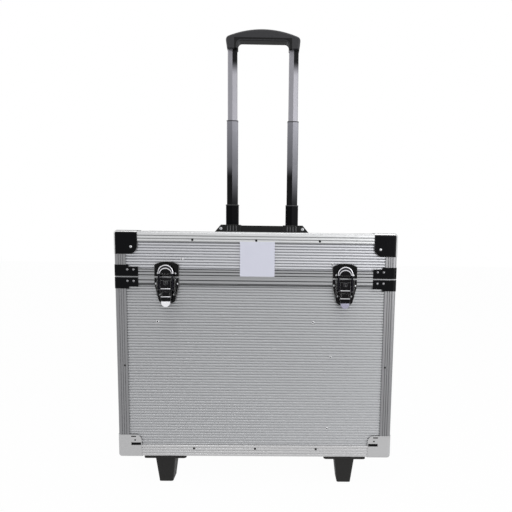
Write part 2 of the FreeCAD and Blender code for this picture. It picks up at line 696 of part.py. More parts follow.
def latch_keeper():
    """The plate on the lid with an arched top and the horn that the bail draws down on."""
    half = LATCH_WIDTH / 2

    def outline(depth, low):
        a = latch_point(-half, -low, depth)
        b = latch_point(half, -low, depth)
        c = latch_point(half, -KEEPER_SHOULDER, depth)
        d = latch_point(0, -KEEPER_TOP, depth)
        e = latch_point(-half, -KEEPER_SHOULDER, depth)
        return [line(a, b), line(b, c), arc(c, d, e), line(e, a)]

    def with_round_shoulders(shape):
        shoulders = [e for e in shape.Edges if abs(e.tangentAt(e.FirstParameter).y) > ALONG
                     and abs(e.CenterOfMass.z - SEAM - KEEPER_SHOULDER) < NEAR]
        return shape.makeFillet(KEEPER_CORNER, shoulders)

    plate = latch_prism(outline(0, LATCH_SEAM_GAP + SEAM_GAP), 0, LATCH_PLATE_THICKNESS)
    backing = latch_prism(outline(-EDGE_THICKNESS, RIM_HEIGHT + SEAM_GAP), -EDGE_THICKNESS, 0)
    plate, backing = with_round_shoulders(plate), with_round_shoulders(backing)
    tip = BAIL_BACK - BAIL_CLEARANCE
    rise = KEEPER_HORN_HIGH - KEEPER_HORN_LOW
    section = [(0, 0), (tip, 0), (tip, rise), (tip - PIVOT_RADIUS, rise),
               (LATCH_PLATE_THICKNESS, rise / 2), (0, rise / 2)]
    outline_yz = [(-KEEPER_HORN_WIDTH / 2, FRONT - d, SEAM + KEEPER_HORN_LOW + z) for d, z in section]
    horn = prism(outline_yz, (KEEPER_HORN_WIDTH, 0, 0))
    return fused([plate, backing, horn])


def latch_lever():
    """The lever: a knuckle on the plate's pins, a barred body, a round tip, a pocket and the bail's pin."""
    half = LEVER_WIDTH / 2
    tip = LEVER_TIP_WIDTH / 2
    taper = LATCH_TAPER_END - LEVER_LIP_HEIGHT
    knuckle = rod(KNUCKLE_RADIUS, latch_point(-half, PIVOT_DROP, PIVOT_DEPTH), RIGHTWARD, LEVER_WIDTH)
    corners = [(-half, LEVER_SHOULDER_DROP), (half, LEVER_SHOULDER_DROP), (half, taper),
               (tip, LEVER_END), (-tip, LEVER_END), (-half, taper)]
    outline = [tuple(latch_point(x, drop, LEVER_BACK)) for x, drop in corners]
    body = round_tipped(prism(outline, (0, LEVER_BACK - LEVER_FRONT, 0)))
    face = FRONT - LEVER_FRONT
    lip = round_tipped(block(-tip, tip, face - LEVER_LIP_DEPTH, face + EPS, SEAM - LEVER_END,
                             SEAM - LEVER_END + LEVER_LIP_HEIGHT))
    lip_edges = [e for e in lip.Edges if abs(e.CenterOfMass.y - lip.BoundBox.YMin) < NEAR]
    lip = lip.makeFillet(LEVER_LIP_FILLET, lip_edges)
    bars = [block(-tip, tip, face - LEVER_BAR_PROUD, face + EPS, SEAM - drop - LEVER_BAR_WIDTH / 2,
                  SEAM - drop + LEVER_BAR_WIDTH / 2) for drop in LEVER_BAR_DROPS]
    pocket_half = tip - LEVER_POCKET_RIM
    pocket = block(-pocket_half, pocket_half, face - EPS, face + LEVER_POCKET_DEPTH,
                   SEAM - LEVER_BAR_DROPS[1] + LEVER_BAR_WIDTH / 2, SEAM - BAIL_PIN_DROP - BAIL_EYE_RADIUS)
    bail_pin = rod(BAIL_PIN_RADIUS, latch_point(-BAIL_WIDTH / 2, BAIL_PIN_DROP, BAIL_PIN_DEPTH),
                   RIGHTWARD, BAIL_WIDTH)
    bore_length = EPS + 2 * PIVOT_RADIUS + PIN_FIT
    bores = [rod(PIVOT_RADIUS + PIN_FIT, latch_point(side * (half + EPS), PIVOT_DROP, PIVOT_DEPTH),
                 (-side, 0, 0), bore_length) for side in (-1, 1)]
    lever = fused([knuckle, body, lip] + bars).cut([pocket] + bores)
    return lever.fuse(bail_pin).removeSplitter()


def round_tipped(shape):
    """A lever piece whose two lower corners are round."""
    low = shape.BoundBox.ZMin
    corners = [e for e in shape.Edges if abs(e.tangentAt(e.FirstParameter).y) > ALONG
               and abs(e.CenterOfMass.z - low) < NEAR]
    return shape.makeFillet(LEVER_TIP_ROUND, corners)


def latch_lock():
    """The key cylinder's face on the lever, with its key slot."""
    cylinder = rod(LOCK_RADIUS, latch_point(0, LOCK_DROP, LEVER_FRONT), (0, -1, 0), LOCK_LENGTH)
    width, height, depth = KEY_SLOT
    face = FRONT - LEVER_FRONT - LOCK_LENGTH
    middle = SEAM - LOCK_DROP
    return cylinder.cut(block(-width / 2, width / 2, face - EPS, face + depth, middle - height / 2,
                              middle + height / 2))


def arch_edges(half, top, drop):
    """A round-topped outline, 2 * half wide, from drop below the seam to top above it."""
    spring = half - top
    high_right = latch_point(half, spring, BAIL_BACK)
    high_left = latch_point(-half, spring, BAIL_BACK)
    low_right = latch_point(half, drop, BAIL_BACK)
    low_left = latch_point(-half, drop, BAIL_BACK)
    crown = latch_point(0, -top, BAIL_BACK)
    return [line(low_right, high_right), arc(high_right, crown, high_left), line(high_left, low_left),
            line(low_left, low_right)]


def latch_bail():
    """The arched loop that hangs on the lever's pin."""
    half = BAIL_WIDTH / 2
    inner = half - BAIL_BAR
    loop = latch_prism(arch_edges(half, BAIL_TOP, BAIL_PIN_DROP), BAIL_BACK, BAIL_BACK + BAIL_THICKNESS)
    window = latch_prism(arch_edges(inner, BAIL_TOP - BAIL_CROWN, 2 * BAIL_PIN_DROP),
                         BAIL_BACK - EPS, BAIL_BACK + BAIL_THICKNESS + EPS)
    window = moved(window, 0, EPS)
    bow = loop.cut(window)
    edges = [e for e in bow.Edges if e.BoundBox.YLength < NEAR and e.BoundBox.ZMax > SEAM]
    bow = bow.makeFillet(BAIL_SOFT_EDGE, edges)
    eyes = [rod(BAIL_THICKNESS / 2, latch_point(side * inner, BAIL_PIN_DROP, BAIL_PIN_DEPTH),
                (side, 0, 0), BAIL_BAR) for side in (-1, 1)]
    bore = rod(BAIL_PIN_RADIUS + PIN_FIT, latch_point(-half - EPS, BAIL_PIN_DROP, BAIL_PIN_DEPTH),
               RIGHTWARD, BAIL_WIDTH + 2 * EPS)
    return fused([bow] + eyes).cut(bore)


def latch_set(make, x, turn):
    """A latch piece at one of the four latch places."""
    return turned(moved(make(), x), turn, (0, CENTRE_Y))


def latch_places():
    """Name, X before turning, and turn of every latch; left and right are as seen from the front."""
    for face, turn in FACES:
        for side, sign in SIDES:
            toward = sign if turn == 0 else -sign
            yield face + "_" + side, toward * LATCH_SPACING / 2, turn


# ---- feet and wheels -----------------------------------------------------------------------------------
def front_foot(x):
    """A flange under the case and a leg that tapers down from it."""
    y0 = FRONT + FOOT_SETBACK
    low = BASE - FLANGE_THICKNESS
    flange = rounded_box(FLANGE_WIDTH, FLANGE_DEPTH, low, BASE, EDGE_RADIUS, x, y0 + FLANGE_DEPTH / 2)
    leg_y = y0 + LEG_SETBACK + LEG_TOP_DEPTH / 2

    def ring(width, depth, z):
        a, b = width / 2, depth / 2
        turns = ((-1, -1), (1, -1), (1, 1), (-1, 1))
        corners = [Vector(x + sx * a, leg_y + sy * b, z) for sx, sy in turns]
        return Part.makePolygon(corners + corners[:1])

    rings = [ring(LEG_TOP_WIDTH, LEG_TOP_DEPTH, low), ring(LEG_BOTTOM_WIDTH, LEG_BOTTOM_DEPTH, 0)]
    leg = Part.makeLoft(rings, True, True)
    slanted = [e for e in leg.Edges if e.BoundBox.ZLength > low / 2]
    return flange.fuse(leg.makeFillet(LEG_CORNER, slanted)).removeSplitter()


def wheel_centre(side):
    return side * WHEEL_SPACING / 2, REAR - WHEEL_INSET, WHEEL_RADIUS


def wheel(side):
    """A hub with a running bore, and the tyre on it."""
    x, y, z = wheel_centre(side)
    start = (x - WHEEL_WIDTH / 2, y, z)
    rim = WHEEL_RADIUS - TYRE_THICKNESS
    hub = rod(rim, start, RIGHTWARD, WHEEL_WIDTH)
    boss = rod(HUB_BOSS_RADIUS, start, RIGHTWARD, TYRE_ROUND)
    dish = rod(rim - TYRE_ROUND, start, RIGHTWARD, TYRE_ROUND).cut(boss)
    far_dish = moved(dish, WHEEL_WIDTH - TYRE_ROUND)
    bore = rod(AXLE_RADIUS + PIN_FIT, start, RIGHTWARD, WHEEL_WIDTH)
    tyre = rod(WHEEL_RADIUS, start, RIGHTWARD, WHEEL_WIDTH)
    tyre = tyre.makeFillet(TYRE_ROUND, [e for e in tyre.Edges if isinstance(e.Curve, Part.Circle)])
    tyre = tyre.cut(rod(rim, start, RIGHTWARD, WHEEL_WIDTH))
    return hub.cut([dish, far_dish, bore]), tyre


def wheel_housing(side):
    """A plate under the case with two cheeks that hold the axle."""
    x, y, z = wheel_centre(side)
    half = WHEEL_WIDTH / 2 + WHEEL_SIDE_GAP
    width = 2 * (half + HOUSING_CHEEK)
    y1 = REAR
    y0 = y1 - HOUSING_DEPTH
    pieces = [centred(width, HOUSING_DEPTH, BASE - HOUSING_PLATE, BASE, x, (y0 + y1) / 2)]
    nose = HOUSING_NOSE
    for sign in (-1, 1):
        near = x + sign * half
        outline = [(near, y0, BASE), (near, y - nose, z), (near, y + nose, z),
                   (near, y1, BASE - HOUSING_PLATE), (near, y1, BASE)]
        cheek = prism(outline, (sign * HOUSING_CHEEK, 0, 0))
        pieces += [cheek, rod(nose, (near, y, z), (sign, 0, 0), HOUSING_CHEEK)]
    bore = rod(AXLE_RADIUS, (x - width, y, z), RIGHTWARD, 2 * width)
    return fused(pieces).cut(bore)


def wheel_axle(side):
    """A plain axle with a flat head outside each cheek."""
    x, y, z = wheel_centre(side)
    half = WHEEL_WIDTH / 2 + WHEEL_SIDE_GAP + HOUSING_CHEEK
    heads = [rod(AXLE_HEAD_RADIUS, (x + sign * half, y, z), (sign, 0, 0), AXLE_HEAD_LENGTH)
             for sign in (-1, 1)]
    return fused([rod(AXLE_RADIUS, (x - half, y, z), RIGHTWARD, 2 * half)] + heads)


# ---- telescopic handle ---------------------------------------------------------------------------------
def tube_core(size, x, z0, z1, wall=0.0):
    """A six-sided bar with a soft ridge front and back, or the bore of one."""
    half = size[0] / 2 - wall
    deep = size[1] / 2 - wall
    side = deep - TUBE_RIDGE
    corners = [(-half, -side), (0, -deep), (half, -side), (half, side), (0, deep), (-half, side)]
    bar = prism([(x + px, TUBE_Y + py, z0) for px, py in corners], (0, 0, z1 - z0))
    edges = [e for e in upright_edges(bar) if abs(abs(e.CenterOfMass.x - x) - half) < NEAR]
    return bar.makeFillet(TUBE_CORNER - wall / 2, edges)


def tube_pair(size, wall, z0, z1):
    tubes = []
    for _, sign in SIDES:
        x = sign * TUBE_SPACING / 2
        tubes.append(tube_core(size, x, z0, z1).cut(tube_core(size, x, z0 - EPS, z1 + EPS, wall)))
    return tubes


def outer_tubes():
    return tube_pair(OUTER_TUBE, OUTER_TUBE_WALL, CLAMP_BASE + CLAMP_FLOOR, TOP + OUTER_TUBE_RISE)


def middle_tubes():
    low = TOP + OUTER_TUBE_RISE - TUBE_OVERLAP
    return tube_pair(MIDDLE_TUBE, INNER_TUBE_WALL, low, TOP + MIDDLE_TUBE_RISE)


def inner_tubes():
    low = TOP + MIDDLE_TUBE_RISE - TUBE_OVERLAP
    return tube_pair(INNER_TUBE, INNER_TUBE_WALL, low, TOP + GRIP_LEG_RISE + SOCKET_DEPTH)


def grip_outline():
    """The grip's side view: two legs, a straight finger edge and a crowned top."""
    leg_in = TUBE_SPACING / 2 - GRIP_LEG_WIDTH / 2
    leg_out = leg_in + GRIP_LEG_WIDTH
    end = GRIP_WIDTH / 2

    def p(x, rise):
        return Vector(x, TUBE_Y - GRIP_DEPTH / 2, TOP + rise)

    corners = [p(-end, GRIP_END_RISE), p(-end, GRIP_OPENING_RISE), p(-leg_out, GRIP_LEG_RISE),
               p(-leg_in, GRIP_LEG_RISE), p(-leg_in, GRIP_OPENING_RISE), p(leg_in, GRIP_OPENING_RISE),
               p(leg_in, GRIP_LEG_RISE), p(leg_out, GRIP_LEG_RISE), p(end, GRIP_OPENING_RISE),
               p(end, GRIP_END_RISE)]
    sides = [line(a, b) for a, b in zip(corners, corners[1:])]
    return sides + [arc(corners[-1], p(0, GRIP_TOP_RISE), corners[0])]


def grip():
    """The moulded grip, with sockets on the inner tubes and a pocket for the button."""
    body = Part.Face(Part.Wire(grip_outline())).extrude(Vector(0, GRIP_DEPTH, 0))
    across = [e for e in body.Edges if abs(e.tangentAt(e.FirstParameter).y) > ALONG]
    foot = TOP + GRIP_LEG_RISE
    opening = TOP + GRIP_OPENING_RISE
    top = TOP + GRIP_TOP_RISE
    ends = [e for e in across if e.CenterOfMass.z > foot + EPS and abs(e.CenterOfMass.z - opening) > EPS]
    inside = [e for e in across if abs(e.CenterOfMass.z - opening) < EPS
              and abs(e.CenterOfMass.x) < TUBE_SPACING / 2]
    body = body.makeFillet(GRIP_END_RADIUS, ends + inside)
    rims = [e for e in body.Edges if abs(abs(e.CenterOfMass.y - TUBE_Y) - GRIP_DEPTH / 2) < NEAR
            and e.BoundBox.ZMax > foot + EPS]
    body = body.makeFillet(GRIP_FILLET, rims)
    sockets = [tube_core(INNER_TUBE, sign * TUBE_SPACING / 2, foot - EPS, foot + SOCKET_DEPTH)
               for _, sign in SIDES]
    pocket_floor = top - BUTTON_HEIGHT - BUTTON_TRAVEL - BUTTON_GAP
    pocket = rounded_box(BUTTON_LENGTH + 2 * BUTTON_GAP, BUTTON_WIDTH + 2 * BUTTON_GAP, pocket_floor,
                         top + EPS, BUTTON_CORNER + BUTTON_GAP, 0, TUBE_Y)
    return body.cut(sockets + [pocket])


def release_button():
    top = TOP + GRIP_TOP_RISE + BUTTON_PROUD
    button = rounded_box(BUTTON_LENGTH, BUTTON_WIDTH, top - BUTTON_HEIGHT, top, BUTTON_CORNER, 0, TUBE_Y)
    rim = [e for e in button.Edges if e.BoundBox.ZMin > top - NEAR]
    return button.makeFillet(BUTTON_PROUD, rim)


def top_bracket():
    """The moulded yoke behind the lid: sloping ends, a set-back bar and a ribbed socket on each tube."""
    y0 = REAR + BRACKET_GAP
    low, foot, top = TOP - BRACKET_DROP, TOP, TOP + BRACKET_RISE
    a, b = BRACKET_LOW_WIDTH / 2, BRACKET_TOP_WIDTH / 2
    outline = [(-a, y0, low), (a, y0, low), (a, y0, foot), (b, y0, top), (-b, y0, top), (-a, y0, foot)]
    body = prism(outline, (0, BRACKET_DEPTH, 0))
    inner = TUBE_SPACING - SOCKET_WIDTH
    cuts = [centred(inner, 2 * BRACKET_BAR_SETBACK, low - EPS, top + EPS, 0, y0),
            centred(inner, 2 * BRACKET_BAR_SETBACK, low - EPS, top + EPS, 0, y0 + BRACKET_DEPTH),
            centred(inner, 3 * BRACKET_DEPTH, top - BRACKET_BAR_DROP, top + EPS, 0, y0)]
    for _, sign in SIDES:
        x = sign * TUBE_SPACING / 2
        cuts.append(tube_core(OUTER_TUBE, x, low - EPS, top + EPS))
        slot_x = x + sign * (SOCKET_WIDTH / 2 + SOCKET_RIB_DEPTH)
        cuts.append(centred(SOCKET_SLOT_WIDTH, 2 * SOCKET_RIB_DEPTH, foot, top + EPS, slot_x, y0))
        for i in range(SOCKET_RIBS):
            rib_x = x + (i - (SOCKET_RIBS - 1) / 2) * SOCKET_RIB_PITCH
            cuts.append(centred(SOCKET_RIB_GAP, SOCKET_RIB_DEPTH, foot, top + EPS, rib_x, y0))
    return body.cut(cuts)


def tube_clamps():
    """A foot block and a saddle clamp for each outer tube, screwed to the rear panel."""
    face = REAR - EDGE_THICKNESS
    back = TUBE_Y + OUTER_TUBE[1] / 2 + CLAMP_WALL
    saddle = SEAM - SADDLE_DROP - SADDLE_HEIGHT / 2
    clamps = []
    for _, sign in SIDES:
        x = sign * TUBE_SPACING / 2
        for z0, height, floor in ((CLAMP_BASE, CLAMP_HEIGHT, CLAMP_FLOOR), (saddle, SADDLE_HEIGHT, -EPS)):
            body = rounded_box(CLAMP_WIDTH, back - face, z0, z0 + height, CLAMP_WALL, x, (face + back) / 2)
            clamps.append(body.cut(tube_core(OUTER_TUBE, x, z0 + floor, z0 + height + EPS)))
    return clamps


# ---- inside --------------------------------------------------------------------------------------------
def control_deck():
    """The folded sheet deck, with holes for what stands in it."""
    top_sheet = case_core(WALL + TONGUE_THICKNESS, DECK_UNDER, DECK_TOP)
    skirt = case_core(WALL, DECK_UNDER - DECK_FLANGE, DECK_TOP)
    sheet = skirt.cut(case_core(WALL + DECK_THICKNESS, DECK_UNDER - DECK_FLANGE - EPS, DECK_UNDER))
    holes = [rod(radius, (x, CENTRE_Y + y, DECK_UNDER - EPS), UP, DECK_THICKNESS + 2 * EPS)
             for radius, x, y in ((NECK_RADIUS, BOTTLE_X, -BOTTLE_Y), (NECK_RADIUS, BOTTLE_X, BOTTLE_Y),
                                  (GAUGE_RADIUS, CONTROLS_X, GAUGE_Y),
                                  (2 * KNOB_SHAFT_RADIUS, CONTROLS_X, KNOB_Y))]
    holes.append(centred(INLET_BODY[0], INLET_BODY[1], DECK_UNDER - EPS, DECK_TOP + EPS,
                         CONTROLS_X, CENTRE_Y + INLET_Y))
    return sheet.fuse(top_sheet).removeSplitter().cut(holes)


def bottle(sign):
    """A round bottle that stands on the base panel with its neck through the deck."""
    base = FLOOR_PANEL_TOP
    shoulder = DECK_UNDER - BOTTLE_SHOULDER
    top = DECK_TOP + NECK_RISE
    y = CENTRE_Y + sign * BOTTLE_Y
    neck = DECK_UNDER - NECK_LENGTH
    flat = BOTTLE_RADIUS - BOTTLE_BEVEL

    def p(radius, z):
        return Vector(BOTTLE_X + radius, y, z)

    slope = p((BOTTLE_RADIUS + NECK_RADIUS) / 2 + BOTTLE_BULGE, shoulder + BOTTLE_SHOULDER / 2)
    edges = [line(p(0, base), p(flat, base)),
             line(p(flat, base), p(BOTTLE_RADIUS, base + BOTTLE_BEVEL)),
             line(p(BOTTLE_RADIUS, base + BOTTLE_BEVEL), p(BOTTLE_RADIUS, shoulder)),
             arc(p(BOTTLE_RADIUS, shoulder), slope, p(NECK_RADIUS, neck)),
             line(p(NECK_RADIUS, neck), p(NECK_RADIUS, top)),
             line(p(NECK_RADIUS, top), p(0, top)),
             line(p(0, top), p(0, base))]
    return Part.Face(Part.Wire(edges)).revolve(Vector(BOTTLE_X, y, 0), Vector(*UP), 360)


def bottle_cap(sign):
    """A screw cap over the neck, with a fluted skirt."""
    y = CENTRE_Y + sign * BOTTLE_Y
    low = DECK_TOP + CAP_SKIRT_GAP
    cap = soft_topped(rod(BOTTLE_CAP_RADIUS, (BOTTLE_X, y, low), UP, BOTTLE_CAP_HEIGHT))
    well = rod(NECK_RADIUS, (BOTTLE_X, y, low - EPS), UP, NECK_RISE - CAP_SKIRT_GAP + EPS)
    return cut_flutes(cap.cut(well), (BOTTLE_X, y), BOTTLE_CAP_RADIUS, low, BOTTLE_CAP_HEIGHT)


def soft_topped(shape):
    """The shape with a chamfer round its top."""
    top = shape.BoundBox.ZMax
    return shape.makeChamfer(KNOB_CHAMFER, [e for e in shape.Edges if e.BoundBox.ZMin > top - NEAR])


def cut_flutes(knob, centre, radius, low, height):
    """Scallops round a knob or cap, from its foot to just below its top."""
    flutes = []
    for i in range(KNOB_FLUTES):
        angle = 2 * math.pi * i / KNOB_FLUTES
        x = centre[0] + (radius + KNOB_FLUTE_RADIUS / 2) * math.cos(angle)
        y = centre[1] + (radius + KNOB_FLUTE_RADIUS / 2) * math.sin(angle)
        flutes.append(rod(KNOB_FLUTE_RADIUS, (x, y, low - EPS), UP, height - EPS))
    return knob.cut(flutes)


def pressure_gauge():
    """A round gauge sunk in the deck, with a bezel and a glass set below it."""
    x, y = CONTROLS_X, CENTRE_Y + GAUGE_Y
    can = rod(GAUGE_RADIUS, (x, y, DECK_TOP - GAUGE_DEPTH), UP, GAUGE_DEPTH)
    bezel = soft_topped(rod(GAUGE_BEZEL, (x, y, DECK_TOP), UP, GAUGE_RISE))
    dial = rod(GAUGE_RADIUS - EPS, (x, y, DECK_TOP + GAUGE_RISE / 2), UP, GAUGE_RISE)
    return fused([can, bezel]).cut(dial)


def regulator_knob():
    """A fluted knob whose shaft goes through the deck into the valve block."""
    x, y = CONTROLS_X, CENTRE_Y + KNOB_Y
    low = DECK_TOP + KNOB_GAP
    cap = soft_topped(rod(KNOB_RADIUS, (x, y, low), UP, KNOB_HEIGHT))
    shaft_length = KNOB_SHAFT_DROP + DECK_THICKNESS + 2 * KNOB_GAP
    shaft = rod(KNOB_SHAFT_RADIUS, (x, y, DECK_UNDER - KNOB_SHAFT_DROP), UP, shaft_length)
    return fused([cut_flutes(cap, (x, y), KNOB_RADIUS, low, KNOB_HEIGHT), shaft])


def valve_block():
    """The regulator and valve body that hangs under the deck, bored for the knob's shaft."""
    x, y = CONTROLS_X, CENTRE_Y + KNOB_Y
    low = DECK_UNDER - VALVE_HEIGHT
    body = rounded_box(VALVE_WIDTH, VALVE_DEPTH, low, DECK_UNDER, EDGE_RADIUS, x, y)
    bore_depth = KNOB_SHAFT_DROP + KNOB_GAP
    bore = rod(KNOB_SHAFT_RADIUS + PIN_FIT, (x, y, DECK_UNDER - bore_depth), UP, bore_depth + EPS)
    return body.cut(bore)


def power_inlet():
    """A mains inlet and switch in one moulding: a recess with three pins beside the rocker's well."""
    x, y = CONTROLS_X, CENTRE_Y + INLET_Y
    top = DECK_TOP + INLET_FLANGE[2]
    flange = rounded_box(INLET_FLANGE[0], INLET_FLANGE[1], DECK_TOP, top, CLAMP_WALL, x, y)
    body = centred(INLET_BODY[0], INLET_BODY[1], DECK_TOP - INLET_BODY[2], DECK_TOP + EPS, x, y)
    recess_y = y + INLET_RECESS_Y
    recess_floor = top - INLET_RECESS[2]
    recess = rounded_box(INLET_RECESS[0], INLET_RECESS[1], recess_floor, top + EPS, INLET_RECESS_CORNER,
                         x, recess_y)
    well = centred(ROCKER_WIDTH + 2 * ROCKER_GAP, ROCKER_WELL_LENGTH, top - ROCKER_WELL_DEPTH, top + EPS,
                   x, y + ROCKER_Y)
    shell = flange.fuse(body).removeSplitter().cut([recess, well])
    earth_x = INLET_PIN[1] / 2
    live_y = INLET_PIN_SPACING / 2
    pins = [centred(INLET_PIN[0], INLET_PIN[1], recess_floor, recess_floor + INLET_PIN[2],
                    x + off_x, recess_y + off_y)
            for off_x, off_y in ((earth_x, 0), (-earth_x, -live_y), (-earth_x, live_y))]
    return [shell] + pins


def rocker_pivot():
    return CONTROLS_X, CENTRE_Y + INLET_Y + ROCKER_Y, DECK_TOP + INLET_FLANGE[2] - ROCKER_PIVOT_DROP


def power_rocker():
    """The rocker, resting on its off side."""
    x, y, z = rocker_pivot()
    outline = [(-ROCKER_HALF, ROCKER_HORN), (0, ROCKER_DIP), (ROCKER_HALF, ROCKER_HORN),
               (ROCKER_FOOT_HALF, -ROCKER_FOOT_DROP), (-ROCKER_FOOT_HALF, -ROCKER_FOOT_DROP)]
    rocker = prism([(x - ROCKER_WIDTH / 2, y + py, z + pz) for py, pz in outline], (ROCKER_WIDTH, 0, 0))
    rocker.rotate(Vector(x, y, z), Vector(*RIGHTWARD), -ROCKER_TILT)
    return rocker


def motor_axis_z():
    return FLOOR_PANEL_TOP + MOUNT_HEIGHT + MOTOR_FOOT[2] + MOTOR_RADIUS


def compressor_motor():
    """A ridged round motor on its foot plate."""
    y = CENTRE_Y + MOTOR_Y
    x0 = MOTOR_X - MOTOR_LENGTH / 2
    z = motor_axis_z()
    shell = rod(MOTOR_RADIUS, (x0, y, z), RIGHTWARD, MOTOR_LENGTH)
    shell = shell.makeChamfer(MOTOR_CHAMFER, [e for e in shell.Edges if isinstance(e.Curve, Part.Circle)])
    slots = []
    for i in range(MOTOR_RIDGES):
        slot = block(x0 + MOTOR_CAP_LENGTH, x0 + MOTOR_LENGTH - MOTOR_CAP_LENGTH, y - MOTOR_RIDGE_DEPTH,
                     y + MOTOR_RIDGE_DEPTH, z + MOTOR_RADIUS - MOTOR_RIDGE_DEPTH, z + MOTOR_RADIUS + EPS)
        slot.rotate(Vector(0, y, z), Vector(*RIGHTWARD), 360.0 * (i + 0.5) / MOTOR_RIDGES)
        slots.append(slot)
    foot_z = FLOOR_PANEL_TOP + MOUNT_HEIGHT
    foot = centred(MOTOR_FOOT[0], MOTOR_FOOT[1], foot_z, foot_z + MOTOR_FOOT[2], MOTOR_X, y)
    neck = centred(MOTOR_NECK[0], MOTOR_NECK[1], foot_z, z, MOTOR_X, y)
    return fused([shell.cut(slots), foot, neck])


def compressor_head():
    """The finned cylinder and crankcase on the motor's end."""
    x0 = MOTOR_X + MOTOR_LENGTH / 2
    y = CENTRE_Y + MOTOR_Y
    z0 = motor_axis_z() - HEAD_DROP
    z1 = z0 + HEAD_HEIGHT
    x = x0 + HEAD_WIDTH / 2
    body = rounded_box(HEAD_WIDTH, HEAD_DEPTH, z0, z1, HEAD_FIN_DEPTH, x, y)
    core_width = HEAD_WIDTH - 2 * HEAD_FIN_DEPTH
    core_depth = HEAD_DEPTH - 2 * HEAD_FIN_DEPTH
    cuts = []
    for i in range(HEAD_FINS):
        z = z1 - HEAD_FIN_DEPTH - i * 2 * HEAD_FIN_GAP
        slab = centred(2 * HEAD_WIDTH, 2 * HEAD_DEPTH, z - HEAD_FIN_GAP, z, x, y)
        core = centred(core_width, core_depth, z - 2 * HEAD_FIN_GAP, z + HEAD_FIN_GAP, x, y)
        cuts.append(slab.cut(core))
    return body.cut(cuts)


def compressor_mounts():
    """Four rubber mounts, waisted, between the foot plate and the base panel."""
    mounts = []
    for sx in (-1, 1):
        for sy in (-1, 1):
            x = MOTOR_X + sx * (MOTOR_FOOT[0] / 2 - MOUNT_RADIUS)
            y = CENTRE_Y + MOTOR_Y + sy * (MOTOR_FOOT[1] / 2 - MOUNT_RADIUS)
            z = FLOOR_PANEL_TOP
            half = MOUNT_HEIGHT / 2
            lower = Part.makeCone(MOUNT_RADIUS, MOUNT_WAIST_RADIUS, half, Vector(x, y, z))
            upper = Part.makeCone(MOUNT_WAIST_RADIUS, MOUNT_RADIUS, half, Vector(x, y, z + half))
            mounts.append(lower.fuse(upper))
    return mounts


def tank_axis_z():
    return FLOOR_PANEL_TOP + SADDLE_CLEARANCE + TANK_RADIUS


def air_tank():
    """A lying cylinder with domed ends and an outlet boss on top."""
    y = CENTRE_Y + TANK_Y
    z = tank_axis_z()
    x0, x1 = TANK_START, TANK_END

    def p(x, radius):
        return Vector(x, y, z + radius)

    dome_radius = (TANK_RADIUS ** 2 + TANK_DOME ** 2) / (2 * TANK_DOME)
    half_angle = math.asin(TANK_RADIUS / dome_radius) / 2
    bulge = dome_radius * math.sin(half_angle)
    sink = dome_radius * (1 - math.cos(half_angle))
    edges = [line(p(x0, 0), p(x1, 0)),
             arc(p(x1, 0), p(x1 - sink, bulge), p(x1 - TANK_DOME, TANK_RADIUS)),
             line(p(x1 - TANK_DOME, TANK_RADIUS), p(x0 + TANK_DOME, TANK_RADIUS)),
             arc(p(x0 + TANK_DOME, TANK_RADIUS), p(x0 + sink, bulge), p(x0, 0))]
    shell = Part.Face(Part.Wire(edges)).revolve(Vector(0, y, z), Vector(*RIGHTWARD), 360)
    bosses = [rod(TANK_BOSS_RADIUS, (x, y, z), UP, TANK_RADIUS + HOSE_RADIUS) for x in tank_ports()]
    return fused([shell] + bosses)


def tank_ports():
    """X of the tank's inlet and outlet bosses."""
    return MOTOR_X + MOTOR_LENGTH / 2 + HEAD_WIDTH / 2, TANK_START + TANK_OUTLET_INSET


def tank_saddles():
    """Two plates that cradle the tank on the base panel."""
    y = CENTRE_Y + TANK_Y
    z = tank_axis_z()
    saddles = []
    for x in (TANK_START + SADDLE_INSET, TANK_END - SADDLE_INSET):
        plate = centred(SADDLE_THICKNESS, 2 * TANK_RADIUS, FLOOR_PANEL_TOP, z - SADDLE_TOP_DROP, x, y)
        round_seat = rod(TANK_RADIUS, (x - SADDLE_THICKNESS, y, z), RIGHTWARD, 2 * SADDLE_THICKNESS)
        saddles.append(plate.cut(round_seat))
    return saddles


def bent_pipe(points, radius, bend):
    """A round pipe on straight runs joined by tangent arcs."""
    points = [Vector(*p) for p in points]
    edges = []
    start = points[0]
    for before, corner, after in zip(points, points[1:], points[2:]):
        u = (before - corner).normalize()
        v = (after - corner).normalize()
        half_turn = (math.pi - u.getAngle(v)) / 2
        reach = bend * math.tan(half_turn)
        a = corner + u * reach
        b = corner + v * reach
        inward = (u + v).normalize()
        middle = corner + inward * (bend / math.cos(half_turn) - bend)
        edges += [line(start, a), arc(a, middle, b)]
        start = b
    edges.append(line(start, points[-1]))
    path = Part.Wire(edges)
    section = Part.Wire(Part.makeCircle(radius, points[0], points[1] - points[0]))
    return path.makePipeShell([section], True, True)


def air_hoses():
    """The head's delivery pipe to the tank, and the tank's outlet to the valve block."""
    head_y = CENTRE_Y + MOTOR_Y
    head_top = motor_axis_z() - HEAD_DROP + HEAD_HEIGHT
    tank_y = CENTRE_Y + TANK_Y
    boss_top = tank_axis_z() + TANK_RADIUS + HOSE_RADIUS
    inlet_x, outlet_x = tank_ports()
    loop_z = head_top + HOSE_BEND + HOSE_RADIUS
    delivery_path = [(inlet_x, head_y, head_top), (inlet_x, head_y, loop_z), (inlet_x, tank_y, loop_z),
                     (inlet_x, tank_y, boss_top)]
    valve_x = CONTROLS_X + VALVE_WIDTH / 2
    valve_y = CENTRE_Y + KNOB_Y
    valve_z = DECK_UNDER - VALVE_HEIGHT / 2
    supply_path = [(outlet_x, tank_y, boss_top), (outlet_x, tank_y, valve_z), (outlet_x, valve_y, valve_z),
                   (valve_x, valve_y, valve_z)]
    delivery = bent_pipe(delivery_path, HOSE_RADIUS, DELIVERY_BEND)
    supply = bent_pipe(supply_path, HOSE_RADIUS, HOSE_BEND)
    return delivery, supply


